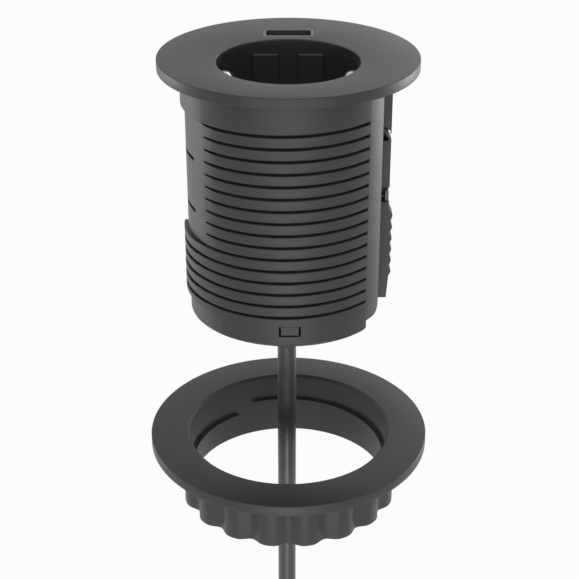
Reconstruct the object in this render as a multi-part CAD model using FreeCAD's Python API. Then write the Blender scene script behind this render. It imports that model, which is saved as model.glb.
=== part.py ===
import FreeCAD, Part
import math
import os

# Round socket unit for a desk top. A flanged tube with an interrupted thread drops through a round
# hole in the desk, and a lock ring is run up the lead and screwed onto the tube from beneath. The
# tube holds an earthed two-pin socket, a charging port with its board, and the grip of the lead.
# Millimetres, +Z up. The origin is on the tube's axis, in the plane of the flange's underside,
# which is the face that rests on the desk. Angles round the axis are counted in degrees from the
# front (-Y), positive towards +X, so that the side channel at +X is at 90.

# Flange and tube
flange_overhang = 6.04
flange_t = 3.0
flange_round = 0.3
land_height = 1.17
wall = 2.1
tube_depth = 71.31
collar_depth = 9.1
collar_ease = 0.9
foot_chamfer = 1.4

# Interrupted thread
pitch = 3.5
first_groove_depth = 9.56
last_groove_rise = 8.0
side_groove_count = 6
groove_mouth = 0.95
groove_floor = 0.55
groove_depth = 1.3
groove_end_angle = 0.9
land_half_angle = 47.2
side_block_height = 19.2
side_block_rise = 6.46
side_block_end = 92.0

# Side channel with its rail
stripe_angle = 15.6
stripe_rise = 2.76
stripe_corner = 3.0
channel_depth = 2.3
channel_wall = 1.6
rail_width = 4.0
rail_rise = 1.56
rail_cover_gap = 0.3
rail_notch_top = 18.45
rail_notch_height = 3.0
rail_bar = 0.6
rail_lobe_height = 1.1
rail_lobe_count = 6
rail_lobe_drop = 1.7

# Windows and slots in the tube
snap_window_width = 6.0
snap_window_height = 3.1
snap_window_rise = 3.66
side_slot_depths = (22.15, 37.35)
side_slot_height = 0.9
side_slot_half_angle = 26.7
latch_window_top = 34.95
latch_window_height = 5.2

# Socket recess
recess_y = -5.03
recess_r = 19.3
recess_depth = 17.5
mouth_clearance = 0.15
cup_wall = 1.6
cup_floor = 2.0
cup_to_wall = 0.46
pin_spacing = 19.0
pin_hole_r = 2.75
key_gap = 5.8
key_width = 6.4
key_thickness = 3.7
key_drop = 2.85
key_chamfer = 0.3

# Earth clips, contacts and terminals
clip_width = 3.2
clip_t = 0.6
clip_drop = 2.6
clip_wall_gap = 0.4
clip_stand_off = 4.35
clip_bend_r = 2.25
clip_foot_stand_off = 2.7
contact_bore_r = 2.45
contact_wall = 0.7
contact_length = 12.0
contact_top_gap = 0.3
contact_slit = 0.8
foot_t = 0.8
terminal_size = 6.0
terminal_gap = 3.0
wire_r = 1.05
wire_clearance = 0.15
lead_run = 5.5
screw_r = 1.2
screw_clearance = 0.12
screw_head_r = 2.1
screw_head_t = 1.4

# Insert fixings and contact cover
ear_y = 10.5
ear_clearance = 0.25
ear_web = 9.0
ear_t = 2.0
ear_drop = 8.0
screw_end_gap = 2.0
boss_wall = 1.4
post_x = -10.5
post_dy = 11.0
cover_t = 2.0
cover_gap = 0.9
cover_clearance = 0.4
latch_width = 3.2
latch_arm_t = 0.8
latch_reach = 4.1
latch_height = 3.0
latch_lip_t = 1.0
latch_web_t = 0.8
latch_web_back = 0.4

# Charging port and its board
port_recess_gap = 6.09
port_lip_x = 14.5
port_lip_y = 6.4
port_lip_t = 0.3
port_shell_x = 13.2
port_shell_y = 5.7
port_sheet = 0.3
port_length = 14.0
port_gap = 0.1
tongue_x = 11.2
tongue_t = 1.9
tongue_drop = 1.5
tongue_root = 2.5
port_contact_width = 1.0
port_contact_t = 0.2
port_contact_pitch = 2.3
board_x = 29.0
board_t = 1.2
board_top = 1.0
board_clearance = 0.15
guide_depth = 1.3
guide_wall = 1.5
transformer_size = (16.0, 9.6, 13.0)
transformer_cover_gap = 4.0
transformer_foot_rise = 2.0
transformer_collar = 1.2
transformer_flange = 3.0
transformer_step = 1.5
capacitor_r = 3.0
capacitor_length = 11.0
capacitor_x = 7.5
capacitor_port_gap = 3.0
capacitor_groove = 0.3
chip_size = (5.0, 1.2, 6.0)
chip_places = ((-4.5, 6.0), (5.0, 9.0))

# Bottom cover, gland and cord grip
foot_cover_t = 2.0
foot_cover_rise = 0.46
foot_cover_clearance = 0.29
foot_rim_wall = 1.4
foot_rim_height = 5.7
foot_rim_half_angle = 12.0
snap_tab_width = 5.0
snap_tab_height = 2.1
snap_tab_inset = 0.45
snap_tab_root = 1.0
cord_x = -0.5
cord_r = 2.8
cord_clearance = 0.05
gland_flange_r = 7.0
gland_neck_r = 5.1
gland_collar_t = 2.0
gland_inner_t = 3.2
gland_cone_top_r = 5.6
gland_cone_end_r = 3.9
gland_reach = 13.1
grip_half_width = 11.0
grip_back = 6.0
grip_front = 5.0
grip_gap = 0.6
grip_bar_height = 6.0
grip_height = 12.2
grip_screw_x = 7.5
grip_top_margin = 1.0
sheath_past_grip = 3.0

# Lock ring, shown run down the lead
ring_drop = 44.18
ring_flange_width = 12.0
ring_flange_t = 3.4
ring_height = 20.9
ring_bore_clearance = 0.54
ring_lobes = 18
ring_lobe_wall = 3.3
ring_valley_wall = 1.35
ring_edge = 0.8
ring_foot_edge = 0.5
rib_t = 0.6
rib_root_t = 0.95
rib_bite = 0.7
rib_top_drop = 8.4
rib_start_angle = -146.0
rib_turn = 349.0

# Lead below the ring: a straight drop, the put-away hank with its tie, and the plug
hank_drop = 57.0
hank_straight = 107.0
fold_r = 17.0
hank_layers = 4
hank_columns = 2
tie_width = 14.0
tie_t = 1.2
tie_gap = 0.3
tail_length = 26.0
plug_length = 46.0
plug_r = 18.2
plug_face_height = 14.0
plug_shoulder = 4.0
plug_grip_r = 13.5
plug_grip_taper = 1.5
plug_relief_length = 15.0
plug_relief_step = 4.0
plug_relief_r = 4.4
plug_relief_flare = 2.6
plug_side_depth = 12.0
plug_pin_root = 6.0
plug_pin_r = 2.4
plug_pin_length = 19.0
plug_flat = 16.6
plug_rib = 5.2
strip_width = 4.0
strip_t = 0.6
strip_length = 15.0
strip_recess = 2.0
strip_side_gap = 0.6
strip_end_gap = 1.0

os.makedirs("parts", exist_ok=True)

# Values that follow
bore_r = recess_r + cup_wall + cup_to_wall - recess_y
core_r = bore_r + wall
land_r = core_r + land_height
flange_r = land_r + flange_overhang
ceiling = flange_t - wall
groove_count = 1 + int((tube_depth - first_groove_depth - last_groove_rise) / pitch)
side_block_bottom = tube_depth - side_block_rise
side_block_top = side_block_bottom - side_block_height
stripe_bottom = tube_depth - stripe_rise
rail_bottom = tube_depth - rail_rise
snap_window_top = tube_depth - snap_window_rise - snap_window_height
port_y = recess_y + recess_r + port_recess_gap
channel_r = core_r - channel_depth
channel_bore_r = channel_r - channel_wall
side_start = land_half_angle
side_end = 180.0 - land_half_angle
channel_start = side_start + stripe_angle
channel_end = side_end - stripe_angle
floor_top = flange_t - recess_depth
floor_bottom = floor_top - cup_floor
cup_r = recess_r + cup_wall
key_reach = recess_r - key_thickness
clip_shoulder = recess_r - clip_wall_gap
clip_reach = recess_r - clip_stand_off
clip_foot = recess_r - clip_foot_stand_off
boss_r = screw_r + boss_wall
ear_x = math.sqrt((channel_bore_r - boss_r - ear_clearance) ** 2 - ear_y**2)
terminal_x = contact_bore_r + contact_wall + terminal_gap + terminal_size / 2
contact_top = floor_bottom - contact_top_gap
contact_bottom = contact_top - contact_length
foot_bottom = contact_bottom - foot_t
cover_top = foot_bottom - cover_gap
cover_bottom = cover_top - cover_t
cover_r = channel_bore_r - cover_clearance
board_face = port_y - port_shell_y / 2
board_back = board_face - board_t
guide_x = board_x / 2 - guide_depth
guide_y0 = board_back - board_clearance - guide_wall
guide_y1 = board_face + board_clearance + guide_wall
port_end = flange_t - port_length
foot_cover_bottom = foot_cover_rise - tube_depth
foot_cover_top = foot_cover_bottom + foot_cover_t
foot_cover_r = bore_r - foot_cover_clearance
transformer_top = -cover_bottom + transformer_cover_gap
board_depth = transformer_top + transformer_size[2] + transformer_foot_rise
gland_end = foot_cover_bottom - gland_collar_t - gland_reach
grip_top = foot_cover_top + grip_height
grip_z = grip_top - grip_bar_height / 2 - grip_top_margin
sheath_top = grip_top + sheath_past_grip
ring_top = tube_depth + ring_drop
ring_bottom = -ring_top - ring_height
ring_bore_r = land_r + ring_bore_clearance
ring_flange_r = ring_bore_r + ring_flange_width
ring_lobe_r = ring_bore_r + ring_lobe_wall
ring_valley_r = ring_bore_r + ring_valley_wall
cord_d = 2 * cord_r
hank_inner = fold_r - cord_r
hank_outer = fold_r - cord_r + hank_columns * cord_d
hank_top = ring_top + ring_height + hank_drop
hank_fold_z = -hank_top - hank_outer
hank_foot_z = hank_fold_z - hank_straight
hank_front = -cord_r
hank_back = hank_front + hank_layers * cord_d
hank_edge = 0.9 * cord_r
tail_x = cord_x + hank_outer - cord_r
tail_y = hank_back - cord_r
plug_top = hank_foot_z - hank_outer - tail_length
plug_face = plug_top - plug_length


def box(x0, x1, y0, y1, z0, z1):
    return Part.makeBox(x1 - x0, y1 - y0, z1 - z0, FreeCAD.Vector(x0, y0, z0))


def rod(r, x, y, z0, z1):
    return Part.makeCylinder(r, z1 - z0, FreeCAD.Vector(x, y, z0))


def cross_rod(r, start, direction, length):
    return Part.makeCylinder(r, length, FreeCAD.Vector(*start), FreeCAD.Vector(*direction))


def pie(r, angle0, angle1, z0, z1):
    slice_ = Part.makeCylinder(
        r, z1 - z0, FreeCAD.Vector(0, 0, z0), FreeCAD.Vector(0, 0, 1), angle1 - angle0
    )
    slice_.rotate(FreeCAD.Vector(0, 0, 0), FreeCAD.Vector(0, 0, 1), angle0 - 90.0)
    return slice_


def sector(r0, r1, angle0, angle1, z0, z1):
    return pie(r1, angle0, angle1, z0, z1).cut(rod(r0, 0, 0, z0 - 1, z1 + 1))


def fused(first, *others):
    return first.fuse(list(others)).removeSplitter()


def joined(first, *others):
    """Fused with its seams kept, so that each land keeps a face of its own."""
    return first.fuse(list(others))


def outline(corners, to_space):
    """Closed wire through corners (a, b, round): round is the radius of the corner's arc."""
    stops = []
    for i, (a, b, r) in enumerate(corners):
        here = FreeCAD.Vector(a, b, 0)
        if not r:
            stops.append((here, None, here))
            continue
        back = FreeCAD.Vector(*corners[i - 1][:2], 0) - here
        ahead = FreeCAD.Vector(*corners[(i + 1) % len(corners)][:2], 0) - here
        back.normalize()
        ahead.normalize()
        half = back.getAngle(ahead) / 2
        inward = back + ahead
        inward.normalize()
        reach = r / math.tan(half)
        middle = here + inward * (r / math.sin(half) - r)
        stops.append((here + back * reach, middle, here + ahead * reach))
    edges = []
    for i, (start, middle, end) in enumerate(stops):
        if middle is not None:
            edges.append(Part.Arc(to_space(start), to_space(middle), to_space(end)).toShape())
        following = stops[(i + 1) % len(stops)][0]
        if (following - end).Length > 1e-6:
            edges.append(Part.LineSegment(to_space(end), to_space(following)).toShape())
    return Part.Wire(edges)


def turned(*corners):
    """Solid turned about the Z axis from corners (radius, height, round)."""
    face = Part.Face(outline(corners, lambda p: FreeCAD.Vector(p.x, 0, p.y)))
    return face.revolve(FreeCAD.Vector(0, 0, 0), FreeCAD.Vector(0, 0, 1), 360)


def moved(shape, x=0.0, y=0.0, z=0.0):
    copy = shape.copy()
    copy.translate(FreeCAD.Vector(x, y, z))
    return copy


def turned_round(shape, angle):
    copy = shape.copy()
    copy.rotate(FreeCAD.Vector(0, 0, 0), FreeCAD.Vector(0, 0, 1), angle)
    return copy


def plate(corners, axis, low, high):
    """Prism of an outline: axis y takes corners as (x, z), axis z takes them as (x, y)."""
    if axis == "y":
        face = Part.Face(outline(corners, lambda p: FreeCAD.Vector(p.x, low, p.y)))
        return face.extrude(FreeCAD.Vector(0, high - low, 0))
    face = Part.Face(outline(corners, lambda p: FreeCAD.Vector(p.x, p.y, low)))
    return face.extrude(FreeCAD.Vector(0, 0, high - low))


def helical_bar(corners, front_z, angle0, angle1):
    """Bar swept along the thread's helix; corners are (radius, height above the helix)."""
    turn = angle1 - angle0
    radius = corners[0][0]
    helix = Part.makeHelix(pitch, pitch * turn / 360.0, radius)
    points = [FreeCAD.Vector(r, 0, h) for r, h in corners]
    profile = Part.makePolygon(points + points[:1])
    bar = Part.Wire(helix.Edges).makePipeShell([profile], True, True)
    bar.rotate(FreeCAD.Vector(0, 0, 0), FreeCAD.Vector(0, 0, 1), angle0 - 90.0)
    bar.translate(FreeCAD.Vector(0, 0, front_z + pitch * angle0 / 360.0))
    return bar


def bent_rod(r, points):
    """Round rod along straight runs joined by arcs as large as the runs allow."""
    points = [FreeCAD.Vector(*p) for p in points]
    edges = []
    at = points[0]
    for before, corner, after in zip(points, points[1:], points[2:]):
        back = before - corner
        ahead = after - corner
        run = 0.45 * min(back.Length, ahead.Length)
        back.normalize()
        ahead.normalize()
        half = back.getAngle(ahead) / 2
        bend_r = run * math.tan(half)
        inward = back + ahead
        inward.normalize()
        start = corner + back * run
        middle = corner + inward * (bend_r / math.sin(half) - bend_r)
        end = corner + ahead * run
        edges.append(Part.LineSegment(at, start).toShape())
        edges.append(Part.Arc(start, middle, end).toShape())
        at = end
        print("bend radius", round(bend_r, 1))
    edges.append(Part.LineSegment(at, points[-1]).toShape())
    path = Part.Wire(edges)
    ring = Part.makeCircle(r, points[0], points[1] - points[0])
    return path.makePipeShell([Part.Wire([ring])], True, False)


def save(name, *solids):
    for solid in solids:
        if not solid.isValid():
            print("not valid:", name)
    shape = solids[0] if len(solids) == 1 else Part.makeCompound(list(solids))
    print(name, len(shape.Solids), round(shape.Volume, 1))
    shape.exportStep("parts/" + name + ".step")


# Housing: flange, collar, tube, thread lands and channel are one moulding.


def thread_grooves():
    floor_r = land_r - groove_depth
    mouth_r = land_r + 0.4
    spread = (groove_mouth - groove_floor) / 2 * (mouth_r - floor_r) / groove_depth
    profile = (
        (floor_r, -groove_floor / 2),
        (mouth_r, -groove_floor / 2 - spread),
        (mouth_r, groove_floor / 2 + spread),
        (floor_r, groove_floor / 2),
    )
    inside = land_half_angle - groove_end_angle
    grooves = []
    for i in range(groove_count):
        z = -first_groove_depth - pitch * i
        if i < groove_count - side_groove_count:
            grooves.append(helical_bar(profile, z, -inside, inside))
        else:
            grooves.append(helical_bar(profile, z, -side_block_end - 0.6, inside))
        grooves.append(helical_bar(profile, z, -180.0 - inside, -180.0 + inside))
    return grooves


def lobed_rail():
    """Rail in the side channel: its lobes carry the thread past the channel."""
    half = rail_width / 2
    lower = -rail_bottom
    rail = box(channel_r - 0.5, land_r, -half, half, lower, 0).common(rod(core_r, 0, 0, lower, 0))
    lobes = []
    for i in range(rail_lobe_count):
        top = -latch_window_top - latch_window_height - rail_lobe_drop - pitch * i
        foot = top - pitch + groove_floor
        crest = core_r + rail_lobe_height
        curve = Part.Arc(
            FreeCAD.Vector(core_r - 0.3, -half, top),
            FreeCAD.Vector(crest, -half, (top + foot) / 2 - 0.3),
            FreeCAD.Vector(core_r + 0.25, -half, foot),
        )
        sides = Part.makePolygon(
            [
                FreeCAD.Vector(core_r + 0.25, -half, foot),
                FreeCAD.Vector(core_r - 0.6, -half, foot),
                FreeCAD.Vector(core_r - 0.6, -half, top),
                FreeCAD.Vector(core_r - 0.3, -half, top),
            ]
        )
        face = Part.Face(Part.Wire([curve.toShape()] + sides.Edges))
        lobes.append(face.extrude(FreeCAD.Vector(0, rail_width, 0)))
    notch_z = -rail_notch_top - rail_notch_height
    notch = box(channel_r, land_r, -half, half, notch_z, -rail_notch_top)
    drop = rail_bar * 1.6
    bar = plate(
        (
            (channel_r - 0.2, -rail_notch_top + 0.2, 0),
            (channel_r - 0.2, -rail_notch_top - drop, 0),
            (core_r - 0.05, notch_z - 0.3, 0),
            (core_r - 0.05, notch_z + drop, 0),
        ),
        "y",
        -half,
        half,
    )
    return fused(rail.cut(notch), bar, *lobes)


def side_stripe():
    """Plain stripe beside the channel, with its rounded lower corner."""
    stripe = sector(bore_r, core_r, side_start - 0.5, channel_start, -stripe_bottom, 0)
    corner = [
        edge
        for edge in stripe.Edges
        if edge.BoundBox.ZLength < 0.01
        and edge.CenterOfMass.z < -stripe_bottom + 0.1
        and edge.Length < wall + 0.1
        and math.atan2(edge.CenterOfMass.x, -edge.CenterOfMass.y) > math.radians(channel_start - 1.0)
    ]
    return stripe.makeFillet(stripe_corner, corner)


def housing():
    e = flange_round
    inside = ceiling + 0.5
    flange = turned(
        (0, 0, 0), (flange_r, 0, e), (flange_r, flange_t, e), (0, flange_t, 0)
    )
    lands = turned(
        (0, -tube_depth, 0), (land_r - foot_chamfer, -tube_depth, 0),
        (land_r, -tube_depth + foot_chamfer, 0), (land_r, 0, 0), (0, 0, 0),
    )
    collar_foot = -collar_depth - collar_ease
    collar = turned(
        (0, collar_foot, 0), (core_r, collar_foot, 0),
        (land_r, collar_foot + 0.2, 1.0), (land_r, 0, 0), (0, 0, 0),
    )
    left = pie(land_r + 1, -side_end, -side_start, -tube_depth, 0)
    front = pie(land_r + 1, -side_start, side_start, -tube_depth, 0)
    rear = pie(land_r + 1, side_end, 360.0 - side_end, -tube_depth, 0)
    block = pie(land_r, -side_block_end, -side_start, -side_block_bottom, -side_block_top)
    core = pie(core_r, -side_end - 1, -side_start + 1, -tube_depth, 0)
    threaded = joined(lands.common(front), lands.common(rear), core, collar.common(left), block)
    threaded = threaded.cut(Part.makeCompound(thread_grooves()))
    stripe = side_stripe()
    far_stripe = stripe.mirror(FreeCAD.Vector(0, 0, 0), FreeCAD.Vector(0, 1, 0))
    floor_bottom_z = -stripe_bottom - 0.1
    channel = sector(
        channel_bore_r, channel_r, channel_start - 3, channel_end + 3, floor_bottom_z, 0
    )
    joins = [
        sector(channel_bore_r, core_r - 0.1, a, a + 2, -stripe_bottom + stripe_corner + 0.1, 0)
        for a in (channel_start - 2, channel_end)
    ]
    threaded = threaded.cut(rod(bore_r, 0, 0, -tube_depth - 1, 0))
    body = joined(flange, threaded, stripe, far_stripe, channel, lobed_rail(), *joins)
    hollow = rod(bore_r, 0, 0, 0, ceiling).cut(
        pie(bore_r + 1, channel_start - 3, channel_end + 3, 0, ceiling).cut(
            rod(channel_bore_r, 0, 0, -1, inside)
        )
    )
    body = body.cut(hollow)
    boss = rod(boss_r, ear_x, ear_y, -ear_drop, inside)
    far_boss = rod(boss_r, -ear_x, ear_y, -ear_drop, inside)
    guide = box(guide_x, bore_r, guide_y0, guide_y1, -board_depth, inside)
    guide = guide.cut(
        box(0, board_x / 2 + board_clearance, board_back - board_clearance,
            board_face + board_clearance, -board_depth - 1, -board_top + board_clearance)
    )
    far_guide = guide.mirror(FreeCAD.Vector(0, 0, 0), FreeCAD.Vector(1, 0, 0))
    inner = [
        piece.common(rod(bore_r + 0.3, 0, 0, -tube_depth, inside))
        for piece in (boss, far_boss, guide, far_guide)
    ]
    body = joined(body, *inner)
    cuts = [
        rod(recess_r + mouth_clearance, 0, recess_y, -0.5, flange_t + 1),
        rounded_block(port_lip_x + 2 * port_gap, port_lip_y + 2 * port_gap, port_y,
                      -1.0, flange_t + 1, 0.6),
        rod(screw_r + screw_clearance, ear_x, ear_y, -ear_drop - 1, -0.8),
        rod(screw_r + screw_clearance, -ear_x, ear_y, -ear_drop - 1, -0.8),
        box(channel_bore_r - 1, land_r, -rail_width / 2, rail_width / 2,
            -latch_window_top - latch_window_height, -latch_window_top),
    ]
    for side in (-1, 1):
        y0, y1 = sorted((side * (bore_r - 2), side * (land_r + 2)))
        cuts.append(
            box(-snap_window_width / 2, snap_window_width / 2, y0, y1,
                -snap_window_top - snap_window_height, -snap_window_top)
        )
    for depth in side_slot_depths:
        cuts.append(
            sector(bore_r - 1, land_r + 1, -90 - side_slot_half_angle,
                   -90 + side_slot_half_angle, -depth - side_slot_height / 2,
                   -depth + side_slot_height / 2)
        )
    return body.cut(Part.makeCompound(cuts))


def rounded_block(width, depth, y, z0, z1, corner):
    return plate(
        (
            (-width / 2, y - depth / 2, corner), (width / 2, y - depth / 2, corner),
            (width / 2, y + depth / 2, corner), (-width / 2, y + depth / 2, corner),
        ),
        "z", z0, z1,
    )


# Socket insert: the recess cup with its key blocks, pin face, ears and posts.


def key_blocks():
    block = plate(
        (
            (key_reach, floor_top - 0.5, 0), (recess_r + 0.5, floor_top - 0.5, 0),
            (recess_r + 0.5, flange_t - key_drop, 0),
            (key_reach + key_chamfer, flange_t - key_drop, 0),
            (key_reach, flange_t - key_drop - key_chamfer, 0),
        ),
        "y", key_gap / 2, key_gap / 2 + key_width,
    )
    pair = [block, block.mirror(FreeCAD.Vector(0, 0, 0), FreeCAD.Vector(0, 1, 0))]
    blocks = [turned_round(b, angle) for b in pair for angle in (90, -90)]
    return [moved(b, 0, recess_y).common(rod(recess_r + 0.5, 0, recess_y, floor_top - 1, flange_t))
            for b in blocks]


def socket_insert():
    cup = rod(cup_r, 0, recess_y, floor_bottom, ceiling)
    ears = []
    for side in (-1, 1):
        ear = rod(boss_r, side * ear_x, ear_y, -ear_drop - ear_t, -ear_drop)
        x0, x1 = sorted((side * (ear_x - ear_web), side * ear_x))
        web = box(x0, x1, ear_y - boss_r, ear_y + boss_r, -ear_drop - ear_t, -ear_drop)
        ears += [ear, web]
    sleeves = [
        rod(contact_bore_r + contact_wall + 1.1, 0, y, floor_bottom - 4.0, floor_bottom)
        for y in contact_places()
    ]
    posts = [rod(boss_r, post_x, y, cover_top, floor_bottom) for y in post_places()]
    body = fused(cup, *ears, *sleeves, *posts)
    body = body.cut(rod(recess_r, 0, recess_y, floor_top, 1))
    body = fused(body, *key_blocks())
    cuts = [rod(pin_hole_r, 0, y, floor_bottom - 1, floor_top + 1) for y in contact_places()]
    sleeve_bore = contact_bore_r + contact_wall + 0.1
    cuts += [rod(sleeve_bore, 0, y, floor_bottom - 5, floor_bottom) for y in contact_places()]
    cuts += [
        rod(screw_r + 0.2, side * ear_x, ear_y, -ear_drop - ear_t - 1, 1) for side in (-1, 1)
    ]
    cuts += [
        rod(screw_r + screw_clearance, post_x, y, cover_top - 1, floor_bottom + 0.4 - cup_floor)
        for y in post_places()
    ]
    slot_y0 = recess_y - clip_width / 2 - 0.2
    slot_y1 = recess_y + clip_width / 2 + 0.2
    cuts += [
        box(*sorted((side * (clip_foot - 1.2), side * (clip_foot + 1.2))), slot_y0, slot_y1,
            floor_bottom - 1, floor_top + 1)
        for side in (-1, 1)
    ]
    return body.cut(Part.makeCompound(cuts))


def contact_places():
    return (recess_y + pin_spacing / 2, recess_y - pin_spacing / 2)


def post_places():
    return (recess_y + post_dy, recess_y - post_dy)


# Earth clips: one bent strip, with the earth terminal on its bridge.


def strip_piece(x0, z0, x1, z1):
    """Straight length of the strip from one point of its middle line to another."""
    along = FreeCAD.Vector(x1 - x0, 0, z1 - z0)
    piece = box(0, along.Length, recess_y - clip_width / 2, recess_y + clip_width / 2,
                -clip_t / 2, clip_t / 2)
    piece.rotate(
        FreeCAD.Vector(0, 0, 0), FreeCAD.Vector(0, 1, 0),
        -math.degrees(math.atan2(along.z, along.x)),
    )
    return moved(piece, x0, 0, z0)


def strip_joint(x, z):
    y0 = recess_y - clip_width / 2
    return cross_rod(clip_t / 2, (x, y0, z), (0, 1, 0), clip_width)


def earth_clips():
    top = flange_t - clip_drop
    bend_z = top - clip_bend_r
    bridge_z = floor_bottom - clip_t / 2 - 0.6
    y0 = recess_y - clip_width / 2
    bend = cross_rod(clip_bend_r + clip_t / 2, (clip_reach + clip_bend_r, y0, bend_z),
                     (0, 1, 0), clip_width)
    bend = bend.cut(cross_rod(clip_bend_r - clip_t / 2,
                              (clip_reach + clip_bend_r, y0 - 1, bend_z), (0, 1, 0),
                              clip_width + 2))
    bend = bend.common(box(0, clip_reach + clip_bend_r, y0, y0 + clip_width, bend_z, flange_t))
    knee_z = floor_top + 1.5
    half = fused(
        bend,
        strip_piece(clip_reach + clip_bend_r, top, clip_shoulder, top),
        strip_piece(clip_reach, bend_z, clip_foot, knee_z),
        strip_joint(clip_reach, bend_z),
        strip_joint(clip_foot, knee_z),
        strip_piece(clip_foot, knee_z, clip_foot, bridge_z),
        strip_joint(clip_foot, bridge_z),
        strip_piece(0, bridge_z, clip_foot, bridge_z),
    )
    other = half.mirror(FreeCAD.Vector(0, 0, 0), FreeCAD.Vector(1, 0, 0))
    block_top = bridge_z + clip_t / 2
    block = box(-terminal_x - terminal_size / 2, -terminal_x + terminal_size / 2,
                recess_y - terminal_size / 2, recess_y + terminal_size / 2,
                block_top - terminal_size - clip_t, block_top)
    wire_hole = rod(wire_r + wire_clearance, -terminal_x, recess_y,
                    block_top - terminal_size - clip_t - 1, block_top - 1.5)
    screw_hole = cross_rod(screw_r + screw_clearance,
                           (-terminal_x - terminal_size, recess_y, earth_screw_z()),
                           (1, 0, 0), terminal_size)
    return fused(half, other, block).cut(Part.makeCompound([wire_hole, screw_hole]))


def earth_screw_z():
    return floor_bottom - 0.6 - clip_t - terminal_size / 2


# Contacts: a slit sleeve for each pin, its foot and its terminal.


def pin_contact(y):
    outer = contact_bore_r + contact_wall
    sleeve = rod(outer, 0, y, contact_bottom, contact_top)
    foot = box(-outer, terminal_x + terminal_size / 2, y - 2.5, y + 2.5, foot_bottom, contact_bottom)
    block = box(terminal_x - terminal_size / 2, terminal_x + terminal_size / 2,
                y - terminal_size / 2, y + terminal_size / 2, foot_bottom,
                contact_bottom + terminal_size)
    body = fused(sleeve, foot, block)
    cuts = [
        rod(contact_bore_r, 0, y, contact_bottom, contact_top + 1),
        box(-outer - 1, 0, y - contact_slit / 2, y + contact_slit / 2, contact_bottom,
            contact_top + 1),
        rod(wire_r + wire_clearance, terminal_x, y, foot_bottom - 1, contact_bottom + 4.0),
        cross_rod(screw_r + screw_clearance, (terminal_x, y, pin_screw_z()), (1, 0, 0),
                  terminal_size),
    ]
    return body.cut(Part.makeCompound(cuts))


def pin_screw_z():
    return contact_bottom + terminal_size / 2 - 0.6


def cross_screw(start, direction, length):
    """Screw with a slotted pan head: start is under the head, direction runs into the hole."""
    ahead = FreeCAD.Vector(*direction)
    back = ahead * -1
    head = Part.makeCylinder(screw_head_r, screw_head_t, FreeCAD.Vector(*start), back)
    shank = Part.makeCylinder(screw_r, length, FreeCAD.Vector(*start), ahead)
    screw = fused(head, shank)
    end = FreeCAD.Vector(*start) + back * screw_head_t
    slot = Part.makeBox(0.5, 2 * screw_head_r + 1, 1.2, FreeCAD.Vector(-0.25, -screw_head_r - 0.5, -0.6))
    slot.Placement = FreeCAD.Placement(
        end, FreeCAD.Rotation(FreeCAD.Vector(0, 0, 1), ahead)
    ).multiply(FreeCAD.Placement(FreeCAD.Vector(0, 0, 0), FreeCAD.Rotation()))
    return screw.cut(slot)


def terminal_screws():
    reach = terminal_size / 2 - wire_r - 0.1
    screws = [
        cross_screw((terminal_x + terminal_size / 2, y, pin_screw_z()), (-1, 0, 0), reach)
        for y in contact_places()
    ]
    screws.append(
        cross_screw((-terminal_x - terminal_size / 2, recess_y, earth_screw_z()), (1, 0, 0), reach)
    )
    return screws


def contact_cover():
    disc = rod(cover_r, 0, 0, cover_bottom, cover_top)
    disc = disc.cut(box(-cover_r, cover_r, guide_y0 - 0.4, cover_r + 1, cover_bottom - 1,
                        cover_top + 1))
    pads = [
        box(-2.0, terminal_x - terminal_size / 2, y - 2.0, y + 2.0, cover_top, foot_bottom - 0.05)
        for y in contact_places()
    ]
    arm = box(cover_r - latch_arm_t, cover_r, -latch_width / 2, latch_width / 2,
              latch_low() - 1.0, cover_top)
    tip = cover_r + latch_reach
    web = box(cover_r - 0.2, tip, latch_web_back, latch_width / 2, latch_low(),
              latch_low() + latch_web_t)
    lip = plate(
        (
            (tip - latch_lip_t, latch_low(), 0), (tip, latch_low(), 0.4),
            (tip, latch_low() + latch_height, 0.3),
            (tip - latch_lip_t, latch_low() + latch_height, 0.3),
        ),
        "y", -latch_width / 2, latch_width / 2,
    )
    body = fused(disc, *pads, arm, web, lip)
    holes = [rod(wire_r + 0.7, terminal_x, y, cover_bottom - 1, cover_top + 2)
             for y in contact_places()]
    holes.append(rod(wire_r + 0.7, -terminal_x, recess_y, cover_bottom - 1, cover_top + 2))
    holes += [rod(screw_r + 0.2, post_x, y, cover_bottom - 1, cover_top + 1)
              for y in post_places()]
    return body.cut(Part.makeCompound(holes))


def latch_low():
    return -latch_window_top - latch_window_height / 2 - latch_height / 2


def insert_screws():
    length = ear_t + ear_drop - screw_end_gap
    screws = [
        cross_screw((side * ear_x, ear_y, -ear_drop - ear_t), (0, 0, 1), length)
        for side in (-1, 1)
    ]
    screws += [
        cross_screw((post_x, y, cover_bottom), (0, 0, 1), cover_t + 8.0) for y in post_places()
    ]
    return screws


# Charging port: one folded steel shell with its lip, a tongue, four contacts and the board.


def port_shell():
    lip = rounded_block(port_lip_x, port_lip_y, port_y, flange_t - port_lip_t, flange_t, 0.5)
    shell = rounded_block(port_shell_x, port_shell_y, port_y, port_end, flange_t, 0.4)
    hollow = rounded_block(port_shell_x - 2 * port_sheet, port_shell_y - 2 * port_sheet, port_y,
                           port_end + port_sheet, flange_t + 1, 0.2)
    body = fused(lip, shell).cut(hollow)
    windows = [
        box(x - 1.0, x + 1.0, port_y, port_y + port_shell_y, port_end + 4.0, port_end + 8.0)
        for x in (-3.0, 3.0)
    ]
    return body.cut(Part.makeCompound(windows))


def port_tongue():
    y0 = port_y - port_shell_y / 2 + port_sheet + 0.05
    y1 = port_y + port_shell_y / 2 - port_sheet - 0.05
    half = port_shell_x / 2 - port_sheet - 0.05
    root_z = port_end + port_sheet
    root = box(-half, half, y0, y1, root_z, root_z + tongue_root)
    mid = port_y + 0.85
    tongue = box(-tongue_x / 2, tongue_x / 2, mid - tongue_t / 2, mid + tongue_t / 2, root_z,
                 flange_t - tongue_drop)
    return fused(root, tongue)


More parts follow.
